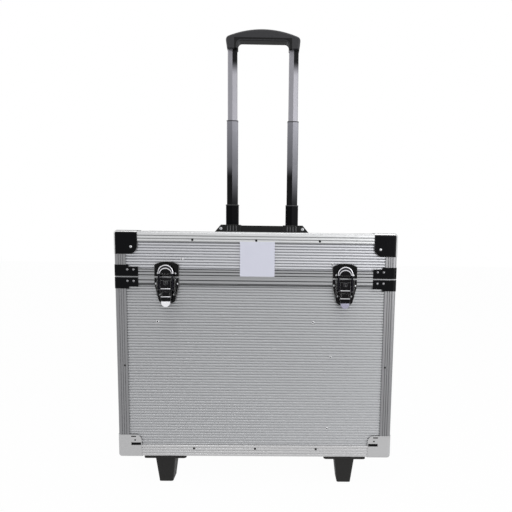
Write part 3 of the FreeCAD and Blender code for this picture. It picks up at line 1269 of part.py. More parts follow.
def instrument_x(i):
    return RAIL_START + (i + 0.5) * INSTRUMENT_PITCH


def instrument_rail():
    """Two cradles across the deck, each with a round-bottomed notch for every instrument."""
    rails = []
    length = INSTRUMENTS * INSTRUMENT_PITCH
    for rail_y in RAIL_YS:
        y = CENTRE_Y + rail_y
        rail = centred(length, RAIL_THICKNESS, DECK_TOP, DECK_TOP + RAIL_HEIGHT, RAIL_START + length / 2, y)
        notches = []
        for i in range(INSTRUMENTS):
            x = instrument_x(i)
            z = DECK_TOP + INSTRUMENT_RISE
            wide = 2 * (INSTRUMENT_RADIUS + CRADLE_GAP)
            notches.append(rod(wide / 2, (x, y - RAIL_THICKNESS, z), BACKWARD, 2 * RAIL_THICKNESS))
            notches.append(centred(wide, 2 * RAIL_THICKNESS, z, z + RAIL_HEIGHT, x, y))
        rails.append(rail.cut(notches))
    return rails


def instrument_handle(x):
    """A round handle that lies in the cradles, with softened ends."""
    start = (x, CENTRE_Y + HANDLE_FRONT_Y, DECK_TOP + INSTRUMENT_RISE)
    handle = rod(INSTRUMENT_RADIUS, start, BACKWARD, HANDLE_LENGTH)
    return handle.makeChamfer(HANDLE_CHAMFER, [e for e in handle.Edges if isinstance(e.Curve, Part.Circle)])


def bent_tip(x, radius, rise, bend):
    """A pipe that leaves a handle's front end and turns upwards by rise."""
    y = CENTRE_Y + HANDLE_FRONT_Y
    z = DECK_TOP + INSTRUMENT_RISE
    path = [(x, y + EPS, z), (x, y - SPRAY_TIP_REACH / 2, z), (x, y - SPRAY_TIP_REACH, z + rise)]
    return bent_pipe(path, radius, bend)


def three_way_syringe():
    """A handle with two buttons and a bent spray tip."""
    x = instrument_x(0)
    y = CENTRE_Y + HANDLE_FRONT_Y
    z = DECK_TOP + INSTRUMENT_RISE
    tip = bent_tip(x, SPRAY_TIP_RADIUS, SPRAY_TIP_REACH / 2, 2 * SPRAY_TIP_RADIUS)
    buttons = [rod(SPRAY_BUTTON_RADIUS, (x, y + step, z), UP, SPRAY_BUTTON_RISE) for step in SPRAY_BUTTONS]
    return fused([instrument_handle(x), tip] + buttons)


def handpieces():
    """A turbine handpiece with an angled head, and a straight suction handpiece."""
    z = DECK_TOP + INSTRUMENT_RISE
    y = CENTRE_Y + HANDLE_FRONT_Y
    turbine_x = instrument_x(1)
    neck = bent_tip(turbine_x, TURBINE_NECK_RADIUS, SPRAY_TIP_REACH / 4, 2 * TURBINE_NECK_RADIUS)
    head_start = (turbine_x, y - SPRAY_TIP_REACH, z - TURBINE_HEAD_DROP)
    head = rod(TURBINE_HEAD_RADIUS, head_start, UP, TURBINE_HEAD_HEIGHT)
    turbine = fused([instrument_handle(turbine_x), neck, head])
    suction_x = instrument_x(2)
    tip = rod(SUCTION_TIP_RADIUS, (suction_x, y + EPS, z), (0, -1, 0), SPRAY_TIP_REACH)
    slider = centred(INSTRUMENT_RADIUS, 2 * INSTRUMENT_RADIUS, z, z + SUCTION_SLIDER_RISE, suction_x,
                     y + SUCTION_SLIDER_Y)
    return turbine, fused([instrument_handle(suction_x), tip, slider])


def vent_centre_z():
    return BASE + VENT_RISE


def vent_grille():
    """A square finger guard with rings on four spokes, on the rear panel."""
    z = vent_centre_z()
    face = REAR - EDGE_THICKNESS
    thick = VENT_GUARD_THICKNESS
    middle = face + thick / 2
    plate = centred(VENT_GUARD, thick, z - VENT_GUARD / 2, z + VENT_GUARD / 2, 0, middle)
    hole = rod(VENT_RADIUS, (0, face - EPS, z), BACKWARD, thick + 2 * EPS)
    pitch = VENT_RADIUS / (VENT_RINGS + 0.5)
    pieces = [plate.cut(hole)]
    for i in range(VENT_RINGS):
        outer = rod(pitch * (i + 0.5) + VENT_BAR / 2, (0, face, z), BACKWARD, thick)
        pieces.append(outer.cut(rod(pitch * (i + 0.5) - VENT_BAR / 2, (0, face, z), BACKWARD, thick))
                      if i else outer)
    for angle in VENT_SPOKES:
        spoke = centred(2 * (VENT_RADIUS + EPS), thick, z - VENT_BAR / 2, z + VENT_BAR / 2, 0, middle)
        spoke.rotate(Vector(0, face, z), Vector(*BACKWARD), angle)
        pieces.append(spoke)
    return fused(pieces)


# ---- all sub-parts -------------------------------------------------------------------------------------
def save_lid():
    front, rear, right, left = wall_set(LID_BASE + RIM_WEB, TOP - WALL)
    save("lid_front_panel", front)
    save("lid_rear_panel", rear)
    save("lid_end_panels", left, right)
    save("lid_top_panel", lid_top_panel())
    save("lid_edge_profiles", *lid_edge_profiles())
    save("lid_corner_posts", *corner_posts(LID_BASE + RIM_HEIGHT, TOP - TOP_EDGE_WIDTH))
    save("lid_rim_profile", *lid_rim_profile())
    save("lid_corner_caps", *lid_corner_caps())
    save("lid_seam_clips", *lid_seam_clips())
    save("lid_foam_liner", lid_foam())
    save("latch_keepers", *[latch_set(latch_keeper, x, turn) for _, x, turn in latch_places()])


def save_body():
    z0 = FLOOR_PANEL_TOP
    front, rear, right, left = wall_set(z0, SEAM - RIM_WEB)
    save("body_front_panel", front)
    vent = rod(VENT_RADIUS, (0, REAR - 2 * WALL, vent_centre_z()), BACKWARD, 3 * WALL)
    save("body_rear_panel", rear.cut(vent))
    save("body_end_panels", left, right)
    save("base_panel", case_core(EDGE_THICKNESS, BASE + EDGE_THICKNESS, z0))
    save("base_edge_profiles", *base_edge_profiles())
    save("body_corner_posts", *corner_posts(BASE + BASE_EDGE_WIDTH, SEAM - RIM_HEIGHT))
    save("body_rim_profile", *body_rim_profile())
    save("base_corner_caps", *base_corner_caps())
    save("body_seam_clips", *body_seam_clips())
    save("vent_grille", vent_grille())


def save_latches():
    save("latch_plates", *[latch_set(latch_plate, x, turn) for _, x, turn in latch_places()])
    for name, x, turn in latch_places():
        lever = [latch_set(latch_lever, x, turn)]
        if name.startswith("front"):
            lever.append(latch_set(latch_lock, x, turn))
        save("latch_lever_" + name, *lever)
        save("latch_bail_" + name, latch_set(latch_bail, x, turn))


def save_feet_and_wheels():
    save("front_feet", *[front_foot(sign * FOOT_SPACING / 2) for _, sign in SIDES])
    save("wheel_housings", *[wheel_housing(sign) for _, sign in SIDES])
    save("wheel_axles", *[wheel_axle(sign) for _, sign in SIDES])
    for side, sign in SIDES:
        save("wheel_" + side, *wheel(sign))


def save_handle():
    save("trolley_outer_tubes", *outer_tubes())
    save("trolley_middle_tubes", *middle_tubes())
    save("trolley_inner_tubes", *inner_tubes())
    save("trolley_grip", grip())
    save("release_button", release_button())
    save("trolley_top_bracket", top_bracket())
    save("trolley_clamps", *tube_clamps())


def save_inside():
    save("control_deck", control_deck())
    save("water_bottle", bottle(1))
    save("waste_bottle", bottle(-1))
    save("bottle_caps", bottle_cap(1), bottle_cap(-1))
    save("pressure_gauge", pressure_gauge())
    save("regulator_knob", regulator_knob())
    save("valve_block", valve_block())
    save("power_inlet", *power_inlet())
    save("power_rocker", power_rocker())
    save("compressor_motor", compressor_motor())
    save("compressor_head", compressor_head())
    save("compressor_mounts", *compressor_mounts())
    save("air_tank", air_tank())
    save("tank_saddles", *tank_saddles())
    save("air_hoses", *air_hoses())
    save("instrument_rail", *instrument_rail())
    save("three_way_syringe", three_way_syringe())
    save("handpieces", *handpieces())


os.makedirs("parts", exist_ok=True)
save_lid()
save_body()
save_latches()
save_feet_and_wheels()
save_handle()
save_inside()
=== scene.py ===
"""Looks of the portable dental unit: a ribbed aluminium trolley case, its latches, handle and contents."""
import math

import bmesh
import bpy
from mathutils import Matrix, Vector


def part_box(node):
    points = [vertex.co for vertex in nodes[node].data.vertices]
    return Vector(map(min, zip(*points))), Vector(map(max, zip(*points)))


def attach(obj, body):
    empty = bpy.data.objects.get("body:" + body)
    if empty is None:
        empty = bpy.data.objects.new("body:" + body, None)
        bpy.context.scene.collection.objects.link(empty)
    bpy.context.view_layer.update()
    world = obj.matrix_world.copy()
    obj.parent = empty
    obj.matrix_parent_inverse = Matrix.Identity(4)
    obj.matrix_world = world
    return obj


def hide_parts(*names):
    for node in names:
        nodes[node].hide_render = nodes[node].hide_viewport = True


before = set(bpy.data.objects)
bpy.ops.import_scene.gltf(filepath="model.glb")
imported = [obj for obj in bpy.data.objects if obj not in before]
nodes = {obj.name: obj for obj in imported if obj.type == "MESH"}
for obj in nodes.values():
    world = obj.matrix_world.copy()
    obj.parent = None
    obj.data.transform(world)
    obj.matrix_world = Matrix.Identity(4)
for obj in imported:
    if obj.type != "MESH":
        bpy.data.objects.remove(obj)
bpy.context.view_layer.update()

# ---- places, in metres, as the solids have them ----
HALF_WIDTH = 0.225
FRONT_Y, REAR_Y = -0.12875, 0.11125
CENTRE_Y, HALF_DEPTH = (FRONT_Y + REAR_Y) / 2, (REAR_Y - FRONT_Y) / 2
BASE_Z, SEAM_Z, TOP_Z = 0.048, 0.347, 0.420
DECK_Z = 0.302
TUBE_X, TUBE_Y = 0.0615, 0.12725
LATCH_X = 0.142
BOTH = (-1, 1)
LATCH_NAMES = [face + "_" + side for face in ("front", "rear") for side in ("left", "right")]


# ---- shader groups ----
def feed(tree, socket, value):
    """Gives a socket a value, or links it to another socket or to a node's first output."""
    if isinstance(value, bpy.types.Node):
        value = value.outputs[0]
    if isinstance(value, bpy.types.NodeSocket):
        tree.links.new(value, socket)
    else:
        socket.default_value = value


def fill(tree, made, *values, **settings):
    """Feeds a node's sockets, by their order or by a name with a capital; other settings are properties."""
    for key, value in settings.items():
        if key[0].isupper():
            feed(tree, made.inputs[key.replace("_", " ")], value)
        else:
            setattr(made, key, value)
    for socket, value in zip(made.inputs, values):
        feed(tree, socket, value)
    return made


def node(tree, kind, *values, **settings):
    return fill(tree, tree.nodes.new("ShaderNode" + kind), *values, **settings)


def math_node(tree, operation, *values, clamp=False):
    return node(tree, "Math", *values, operation=operation, use_clamp=clamp)


def product(tree, first, *others):
    """The product of the values, held between 0 and 1."""
    for other in others:
        first = math_node(tree, "MULTIPLY", first, other, clamp=True)
    return first


def ramp(tree, value, low, high, at_low=0.0, at_high=1.0, **settings):
    """at_low where the value is low, at_high where it is high, and a steady change between."""
    return node(tree, "MapRange", Value=value, From_Min=low, From_Max=high, To_Min=at_low, To_Max=at_high,
                **settings)


def noise(tree, place, scale, detail, roughness=0.5):
    return node(tree, "TexNoise", Vector=place, Scale=scale, Detail=detail, Roughness=roughness)


def own_place(tree):
    """The place in the piece's own space."""
    return node(tree, "TexCoord").outputs["Object"]


def face_normal(tree):
    return node(tree, "NewGeometry").outputs["Normal"]


def parts(tree, vector):
    """A vector's X, Y and Z."""
    return node(tree, "SeparateXYZ", vector).outputs


def new_group(name, inputs, outputs=("Mask",)):
    """A shader group, and the sockets of its inputs and outputs inside it."""
    group = bpy.data.node_groups.new(name, "ShaderNodeTree")
    for label, value in inputs.items():
        made = group.interface.new_socket(name=label, in_out="INPUT", socket_type="NodeSocketFloat")
        made.default_value = value
    for label in outputs:
        group.interface.new_socket(name=label, in_out="OUTPUT", socket_type="NodeSocketFloat")
    return group, group.nodes.new("NodeGroupInput").outputs, group.nodes.new("NodeGroupOutput").inputs


def build_grain():
    """Fine grain or brushing, stretched by its scales, with a slower drift under it."""
    group, enter, leave = new_group(
        "grain", {"Scale X": 400.0, "Scale Y": 400.0, "Scale Z": 400.0, "Drift": 9.0}, ("Grain", "Drift"))
    place = own_place(group)
    scales = node(group, "CombineXYZ", enter["Scale X"], enter["Scale Y"], enter["Scale Z"])
    stretched = node(group, "VectorMath", place, scales, operation="MULTIPLY")
    feed(group, leave["Grain"], noise(group, stretched, scale=1.0, detail=3.0, roughness=0.6))
    feed(group, leave["Drift"], noise(group, place, scale=enter["Drift"], detail=2.0))
    return group


def build_scuffs():
    """Sparse short scratches and small nicks, as a mask."""
    group, enter, leave = new_group("scuffs", {"Scale": 60.0, "Amount": 0.3})
    place = own_place(group)
    warp = noise(group, place, scale=14.0, detail=2.0).outputs["Color"]
    bent = node(group, "MixRGB", blend_type="ADD", Fac=0.08, Color1=place, Color2=warp)
    cells = node(group, "TexVoronoi", feature="DISTANCE_TO_EDGE", Vector=bent, Scale=enter["Scale"])
    thin = ramp(group, cells.outputs["Distance"], 0.0, 0.035, at_low=1.0, at_high=0.0)
    where = ramp(group, noise(group, place, scale=31.0, detail=3.0, roughness=0.65), 0.58, 0.72)
    feed(group, leave["Mask"], product(group, thin, where, enter["Amount"]))
    return group


def build_dust():
    """Light dust that gathers on faces that look up, as a mask."""
    group, enter, leave = new_group("dust", {"Amount": 0.15})
    upward = ramp(group, parts(group, face_normal(group))["Z"], 0.2, 1.0)
    patch = ramp(group, noise(group, own_place(group), scale=120.0, detail=4.0, roughness=0.7), 0.35, 0.7)
    feed(group, leave["Mask"], product(group, upward, patch, enter["Amount"]))
    return group


def build_rubbed_edges():
    """Edges where the finish has rubbed thin, with painted highlights where edges catch the light, broken up
    a little, as a mask.

    Roundings is the amount of painted highlight on faces that look along none of the three axes.
    """
    group, enter, leave = new_group("rubbed and highlit edges", {"Width": 0.0006, "Amount": 0.5, "Roundings": 0.0})
    normal = face_normal(group)
    softened = node(group, "Bevel", samples=4, Radius=enter["Width"])
    turn = node(group, "VectorMath", softened, normal, operation="DOT_PRODUCT").outputs["Value"]
    patches = noise(group, own_place(group), scale=70.0, detail=3.0, roughness=0.6)
    worn = ramp(group, patches, 0.3, 0.6, at_low=0.45)
    sharp = product(group, ramp(group, turn, 0.99, 0.9), worn, enter["Amount"])
    sides = parts(group, node(group, "VectorMath", normal, operation="ABSOLUTE"))
    largest = math_node(group, "MAXIMUM", sides["X"], math_node(group, "MAXIMUM", sides["Y"], sides["Z"]))
    # painted highlight on roundings
    rounded = product(group, ramp(group, largest, 0.93, 0.82), enter["Roundings"])
    feed(group, leave["Mask"], math_node(group, "MAXIMUM", sharp, rounded))
    return group


def build_fade():
    """Painted shade and reflection on a tube: a tone that changes slowly between the heights Start and Knee
    and quickly from Knee to End, as a mask.

    Slow is the slow part's share. The quick part goes at one rate on faces that look to the right and at
    another on the rest, since the painted reflection differs on the facets that face the lamps on the right.
    """
    group, enter, leave = new_group(
        "painted_tube_shade", dict.fromkeys(("Start", "Knee", "End", "Slow", "Front Rate", "Side Rate"), 0.0))
    height = parts(group, own_place(group))["Z"]
    slow = ramp(group, height, enter["Start"], enter["Knee"])
    quick = ramp(group, height, enter["Knee"], enter["End"], clamp=False)
    to_right = ramp(group, parts(group, face_normal(group))["X"], 0.08, 0.14)
    rate = ramp(group, to_right, 0.0, 1.0, enter["Front Rate"], enter["Side Rate"])
    soft = ramp(group, product(group, quick, rate), 0.0, 1.0, interpolation_type="SMOOTHSTEP")
    share = math_node(group, "SUBTRACT", 1.0, enter["Slow"])
    feed(group, leave["Mask"], math_node(group, "ADD", product(group, slow, enter["Slow"]),
                                         product(group, soft, share), clamp=True))
    return group


def build_grooves():
    """The slanting flanks of grooves along a panel, as a mask that grows from the height Start to Full.

    Finishes paint the flanks darker with it, as painted shade in the grooves; the body's ribbed sheet paints
    them lighter towards the bottom, as painted light.
    """
    group, enter, leave = new_group("grooves", {"Amount": 0.5, "Start": 0.0, "Full": 0.01})
    slant = math_node(group, "ABSOLUTE", parts(group, face_normal(group))["Z"])
    risen = ramp(group, parts(group, own_place(group))["Z"], enter["Start"], enter["Full"])
    feed(group, leave["Mask"], product(group, ramp(group, slant, 0.3, 0.55), ramp(group, slant, 0.97, 0.85),
                                       risen, enter["Amount"]))
    return group


def build_zone():
    """A zone of a moulding below a height and near the middle, with a narrow soft border, as a mask."""
    group, enter, leave = new_group("zone", {"Height": 0.0, "Half Width": 10.0})
    place = parts(group, own_place(group))
    per_metre = 4000.0                     # how fast the mask grows in the border
    below = math_node(group, "SUBTRACT", enter["Height"], place["Z"])
    inside = math_node(group, "SUBTRACT", enter["Half Width"], math_node(group, "ABSOLUTE", place["X"]))
    feed(group, leave["Mask"], product(group, product(group, below, per_metre),
                                       product(group, inside, per_metre)))
    return group


GRAIN, SCUFFS, DUST = build_grain(), build_scuffs(), build_dust()
EDGES, ZONE, PAINTED_TUBE_SHADE, GROOVES = build_rubbed_edges(), build_zone(), build_fade(), build_grooves()


def use_group(tree, group, *values, **named):
    return node(tree, "Group", *values, node_tree=group, **named)


# ---- finishes ----
DUST_COLOUR = (190, 188, 184)
SCUFF_ROUGHENS, SCUFF_LIFT = 0.25, 0.02
COAT_ROUGH = 0.08
BARE_HIGHLIGHT_FROM = 10                             # an edge tone above this is a level of bare metal, which paints a highlight along the edges


def shade(level):
    """An 8-bit display colour as the linear colour that a shader takes."""
    return [v / 12.92 if v <= 0.04045 else ((v + 0.055) / 1.055) ** 2.4 for v in (c / 255 for c in level)]


def tinted(colour, factor, lift=0.0):
    """A linear colour as a multiple of another."""
    return [min(1.0, c * factor + lift) for c in colour]


def mix_colour(tree, mask, first, second):
    """first and second are colours, as lists, or colour sockets."""
    made = node(tree, "Mix", mask, data_type="RGBA")
    for socket, value in zip(made.inputs[6:8], (first, second)):
        feed(tree, socket, (*value, 1.0) if isinstance(value, list) else value)
    return made.outputs[2]


def new_material(name):
    """A node-based material, its tree and its shader."""
    material = bpy.data.materials.new(name)
    material.use_nodes = True
    return material, material.node_tree, material.node_tree.nodes["Principled BSDF"]


def finish(name, colour, rough, metal=0.0, grain=400, tone=0.08, rough_tone=0.1, bump=0.02, scuff=0.2,
           scuff_tone=1.5, dust=0.06, coat=0.0, sheen=0.0, specular=0.5, edge=(0.4, 0.25, 1.5), zone=None,
           painted_tube_shade=None, groove=None):
    """A procedural finish: grain in colour, roughness and height, light scuffs, worn edges with painted
    highlights, and dust.

    grain is its scale per metre, or one scale for each axis, and bump its depth in millimetres. edge is
    the width in millimetres of the worn edges and painted edge highlights, their amount, their colour, as a
    multiple of the finish's own or as a level of bare metal that paints a highlight, and the amount of
    painted highlight on roundings. zone is the height and half width of a second colour, with that colour,
    its metal and its roughness. fade is the inputs of the group "fade", painted shade and reflection on a
    tube, and the colour that it turns to. groove is the inputs of the group "grooves", and the colour painted
    on the flanks, as a multiple of the finish's own: below one it is painted shade, above one painted light.
    """
    material, tree, shader = new_material(name)
    base = shade(colour)
    scales = grain if isinstance(grain, tuple) else (grain,) * 3
    texture = use_group(tree, GRAIN, *scales).outputs
    marks = use_group(tree, SCUFFS, Amount=scuff)
    width, amount, edge_tone, roundings = (*edge, 0.0)[:4]
    # Wear and painted highlights along edges and on roundings, as one mask.
    worn = use_group(tree, EDGES, width / 1000, amount, roundings)
    blend = math_node(tree, "ADD", math_node(tree, "MULTIPLY", texture["Grain"], 0.5),
                      math_node(tree, "MULTIPLY", texture["Drift"], 0.5))
    toned = mix_colour(tree, blend, tinted(base, 1 - tone), tinted(base, 1 + tone))
    roughness = math_node(tree, "MULTIPLY_ADD", texture["Grain"], rough_tone, rough - rough_tone / 2)
    metallic = metal
    if groove:
        toned = mix_colour(tree, use_group(tree, GROOVES, **groove[0]), toned, tinted(base, groove[1]))
    if painted_tube_shade:
        toned = mix_colour(tree, use_group(tree, PAINTED_TUBE_SHADE, **painted_tube_shade[0]), toned, shade(painted_tube_shade[1]))
    if zone:
        height, half_width, zone_colour, zone_metal, zone_rough = zone
        inside = use_group(tree, ZONE, height, half_width)
        toned = mix_colour(tree, inside, toned, shade(zone_colour))
        roughness = math_node(tree, "MULTIPLY_ADD", inside, zone_rough - rough, roughness)
        if zone_metal != metal:
            metallic = math_node(tree, "MULTIPLY_ADD", inside, zone_metal - metal, metal)
    scuffed = mix_colour(tree, marks, toned, tinted(base, scuff_tone, SCUFF_LIFT))
    if edge_tone > BARE_HIGHLIGHT_FROM:
        edge_colour = shade((edge_tone,) * 3)
        metallic = math_node(tree, "MAXIMUM", worn, metallic)
    else:
        edge_colour = tinted(base, edge_tone)
    rubbed = mix_colour(tree, worn, scuffed, edge_colour)
    dusty = mix_colour(tree, use_group(tree, DUST, dust), rubbed, shade(DUST_COLOUR))
    roughness = math_node(tree, "MULTIPLY_ADD", marks, SCUFF_ROUGHENS, roughness, clamp=True)
    relief = math_node(tree, "SUBTRACT", texture["Grain"], marks)
    height = node(tree, "Bump", Strength=1.0, Distance=bump / 1000, Height=relief)
    fill(tree, shader, Base_Color=dusty, Roughness=roughness, Metallic=metallic, Normal=height,
         Coat_Weight=coat, Coat_Roughness=COAT_ROUGH, Sheen_Weight=sheen, Specular_IOR_Level=specular)
    return material


BRUSHED_X = (9, 1400, 1400)
BRUSHED_Z = (1400, 1400, 9)
SATIN = {"bump": 0.002, "rough_tone": 0.04, "scuff": 0.05, "scuff_tone": 1.2, "edge": (0.3, 0.3, 1.35)}
SHEET = {"bump": 0.001, "rough_tone": 0.02, "scuff": 0.03, "scuff_tone": 1.2, "edge": (0.25, 0.07, 1.2)}
LACQUER = {"tone": 0.1, "specular": 0.03, "coat": 0.09, "scuff": 0.1, "scuff_tone": 5, "bump": 0.004,
           "dust": 0.01}
BLACK_CHROME = {"tone": 0.1, "specular": 0.06, "coat": 0.1, "scuff": 0.12, "scuff_tone": 6, "bump": 0.003,
                "dust": 0.01}
CHROME = {"rough_tone": 0.04, "scuff": 0.06, "bump": 0.001}
LEVER_TIP_Z = SEAM_Z - 0.0375
BAIL_DARK_REFLECTION_Z = SEAM_Z + 0.0065
GRIP_LINING_Z, GRIP_LINING_X = TOP_Z + 0.3832, 0.0575
# Painted shade on the tubes: the inner tube's right-facing facets darken near its top, and the middle tube
# darkens towards its lower end.
UPPER_PAINTED_TUBE_SHADE = {"Start": 0.9, "Knee": 0.732, "End": 0.762, "Slow": 0.0, "Front_Rate": 0.0, "Side_Rate": 1.0}
MIDDLE_PAINTED_TUBE_SHADE = {"Start": 0.645, "Knee": 0.562, "End": 0.532, "Slow": 0.45, "Front_Rate": 1.0,
               "Side_Rate": 0.33}
FINISHES = {
    # The sheet's groove flanks are painted lighter towards the bottom of the body: painted light.
    "ribbed sheet": finish("ribbed sheet", (171, 172, 174), 0.44, 0.9, BRUSHED_X, 0.02, **SHEET,
                           groove=({"Amount": 0.6, "Start": 0.26, "Full": 0.09}, 1.2)),
    # The lid's sheet is the body's ribbed metal painted lighter, as painted light from above, and its groove
    # flanks are painted darker, as painted shade.
    "lid sheet painted lighter": finish("ribbed lid sheet painted lighter", (196, 197, 201), 0.42, 0.9, BRUSHED_X, 0.02, **SHEET,
                        groove=({"Amount": 0.85}, 0.7)),
    # The frame's groove flanks are painted darker: painted shade.
    "top frame": finish("frame profile", (203, 204, 205), 0.34, 0.9, BRUSHED_X, 0.03, **SATIN,
                        groove=({"Amount": 0.6}, 0.6)),
    "base frame": finish("base profile", (190, 190, 191), 0.34, 0.9, BRUSHED_X, 0.03, **SATIN),
    "post": finish("post profile", (136, 136, 138), 0.36, 0.9, BRUSHED_Z, 0.04, **SATIN),
    # Groove flanks painted darker: painted shade.
    "rim": finish("rim profile", (156, 157, 159), 0.34, 0.9, BRUSHED_X, 0.04, **SATIN,
                  groove=({"Amount": 0.9}, 0.5)),
    # On these dark finishes an edge level of bare metal paints highlights along the edges, and a fourth edge
    # value paints highlights on roundings.
    "black fitting": finish("black lacquered fitting", (6, 6, 9), 0.2, **LACQUER, edge=(0.5, 0.35, 150)),
    "black cap": finish("black lacquered cap with painted highlights", (6, 6, 9), 0.2, **LACQUER, edge=(0.5, 0.35, 225, 0.9)),
    "silver fitting": finish("plated fitting", (184, 184, 185), 0.3, 0.9, BRUSHED_X, 0.05, bump=0.004,
                             scuff=0.08, scuff_tone=1.2, edge=(0.4, 0.5, 1.5)),
    "chrome": finish("bright chrome", (206, 206, 210), 0.08, 1.0, tone=0.02, **CHROME, edge=(0.3, 0.3, 1.3)),
    "dark chrome": finish("dark chrome", (40, 40, 45), 0.16, 1.0, tone=0.05, **CHROME, edge=(0.3, 0.3, 150)),
    # The bail's legs, below a height, are painted dark: a painted reflection of dark surroundings on the
    # chrome.
    "bail": finish("chromed bail with painted dark legs", (214, 214, 218), 0.08, 1.0, tone=0.02, **CHROME, edge=(0.3, 0.3, 1.3),
                   zone=(BAIL_DARK_REFLECTION_Z, 1.0, (26, 26, 30), 1.0, 0.14)),
    "rivet": finish("dull rivet", (128, 128, 131), 0.25, 0.9, tone=0.06, bump=0.003, edge=(0.2, 0.3, 1.3)),
    "bright rivet": finish("bright rivet", (216, 216, 218), 0.2, 0.9, tone=0.03, bump=0.002,
                           edge=(0.2, 0.3, 1.2)),
    # Bare-metal edge levels: painted highlights along the latches' edges.
    "black latch": finish("black chromed latch", (7, 7, 9), 0.14, **BLACK_CHROME, edge=(0.55, 0.85, 205)),
    "latch lever": finish("black chromed lever", (7, 7, 9), 0.14, **BLACK_CHROME, edge=(0.5, 0.75, 205),
                          zone=(LEVER_TIP_Z, 1.0, (234, 234, 238), 0.95, 0.2)),
    "latch lever filmed": finish("black chromed lever with filmed tip", (7, 7, 9), 0.14, **BLACK_CHROME,
                                 edge=(0.5, 0.75, 205), zone=(LEVER_TIP_Z, 1.0, (158, 156, 174), 0.9, 0.25)),
    # The upper and middle tubes' lighter tones are painted reflection of bright surroundings, and their
    # height masks add painted shade; the black tube's bare-metal edge level paints highlights along its
    # edges.
    "tube upper": finish("grey tube with painted reflection", (141, 140, 146), 0.42, 0.8, BRUSHED_Z, 0.05, bump=0.003,
                         edge=(0.4, 0.3, 1.3), painted_tube_shade=(UPPER_PAINTED_TUBE_SHADE, (5, 5, 7))),
    "tube middle": finish("dark grey tube with painted reflection", (122, 122, 128), 0.36, 0.8, BRUSHED_Z, 0.06, bump=0.003,
                          edge=(0.4, 0.3, 1.4), painted_tube_shade=(MIDDLE_PAINTED_TUBE_SHADE, (8, 8, 10))),
    "tube lower": finish("black anodised tube", (8, 8, 10), 0.28, 0.6, BRUSHED_Z, 0.08, bump=0.003,
                         specular=0.1, dust=0.01, edge=(0.4, 0.4, 70)),
    "moulding": finish("moulded plastic", (16, 17, 19), 0.42, 0.0, 1500, 0.12, bump=0.03, specular=0.3,
                       dust=0.02, edge=(0.5, 0.5, 3.5)),
    "collar": finish("worn collar", (34, 34, 37), 0.35, tone=0.1, bump=0.01, edge=(0.4, 0.8, 2.5)),
    # Bare-metal edge level: painted highlights along the bracket's edges.
    "bracket": finish("bracket moulding", (7, 8, 8), 0.3, 0.0, 1500, 0.12, bump=0.02, specular=0.25,
                      dust=0.01, edge=(0.45, 0.7, 120)),
    # The grip's roundings get a painted highlight.
    "grip": finish("two-part grip", (52, 52, 54), 0.42, 0.0, 1500, 0.1, bump=0.03, specular=0.2, dust=0.02,
                   edge=(0.6, 0.35, 2.2, 0.5), zone=(GRIP_LINING_Z, GRIP_LINING_X, (7, 7, 8), 0.0, 0.6)),
    "board": finish("laminated board", (80, 78, 76), 0.6, 0.0, (40, 900, 40), 0.2),
    "foot": finish("foot moulding", (22, 21, 20), 0.6, 0.0, 1200, 0.12, bump=0.03, specular=0.3, dust=0.02,
                   edge=(0.6, 0.4, 2.0)),
    "tyre": finish("tyre", (28, 28, 29), 0.75, 0.0, 1800, 0.15, bump=0.05, specular=0.3),
    "steel": finish("plain steel", (176, 177, 179), 0.25, 0.9, BRUSHED_X, 0.06),
    "deck": finish("powder coat", (198, 200, 202), 0.48, 0.0, 1600, 0.03, bump=0.03),
    "motor": finish("cast motor", (72, 76, 84), 0.5, 0.4, 900, 0.1, bump=0.05),
    "head": finish("cast head", (166, 167, 170), 0.45, 0.8, 700, 0.08, bump=0.05),
    "tank": finish("tank paint", (200, 203, 207), 0.3, 0.0, 900, 0.03, coat=0.4),
    "hose": finish("air hose", (40, 52, 92), 0.4, 0.0, 900, 0.08),
    "brass": finish("machined brass", (190, 158, 96), 0.3, 0.9, BRUSHED_X, 0.06),
    "cap": finish("screw cap", (40, 92, 160), 0.4, 0.0, 900, 0.06),
    "hub": finish("wheel hub", (150, 151, 153), 0.5, 0.0, 900, 0.05),
    "instrument": finish("instrument steel", (198, 199, 202), 0.22, 0.95, BRUSHED_X, 0.04),
    "foam": finish("foam", (46, 46, 50), 0.95, 0.0, 2600, 0.3, bump=0.3, scuff=0.0, sheen=0.2),
    "label": finish("label film", (212, 213, 226), 0.35, 0.0, 500, 0.012, scuff=0.05, bump=0.002),
    "dial": finish("dial face", (238, 238, 236), 0.5, tone=0.02, scuff=0.0, dust=0.02),
    "ink": finish("dial print", (24, 24, 26), 0.55, tone=0.05, scuff=0.0),
    "needle": finish("needle", (186, 32, 28), 0.4, tone=0.04, scuff=0.0),
}


def clear_finish(name, colour, rough, tone=0.05, rough_tone=0.06, scale=60):
    """Clear plastic or glass with a faint surface grain."""
    material, tree, shader = new_material(name)
    texture = use_group(tree, GRAIN, scale, scale, scale).outputs
    base = shade(colour)
    fill(tree, shader, Base_Color=mix_colour(tree, texture["Drift"], tinted(base, 1 - tone), base),
         Roughness=math_node(tree, "MULTIPLY_ADD", texture["Grain"], rough_tone, rough),
         Transmission_Weight=0.9, IOR=1.45)
    return material


FINISHES["bottle"] = clear_finish("clear bottle", (222, 234, 244), 0.05)
FINISHES["glass"] = clear_finish("gauge glass", (240, 244, 246), 0.0)

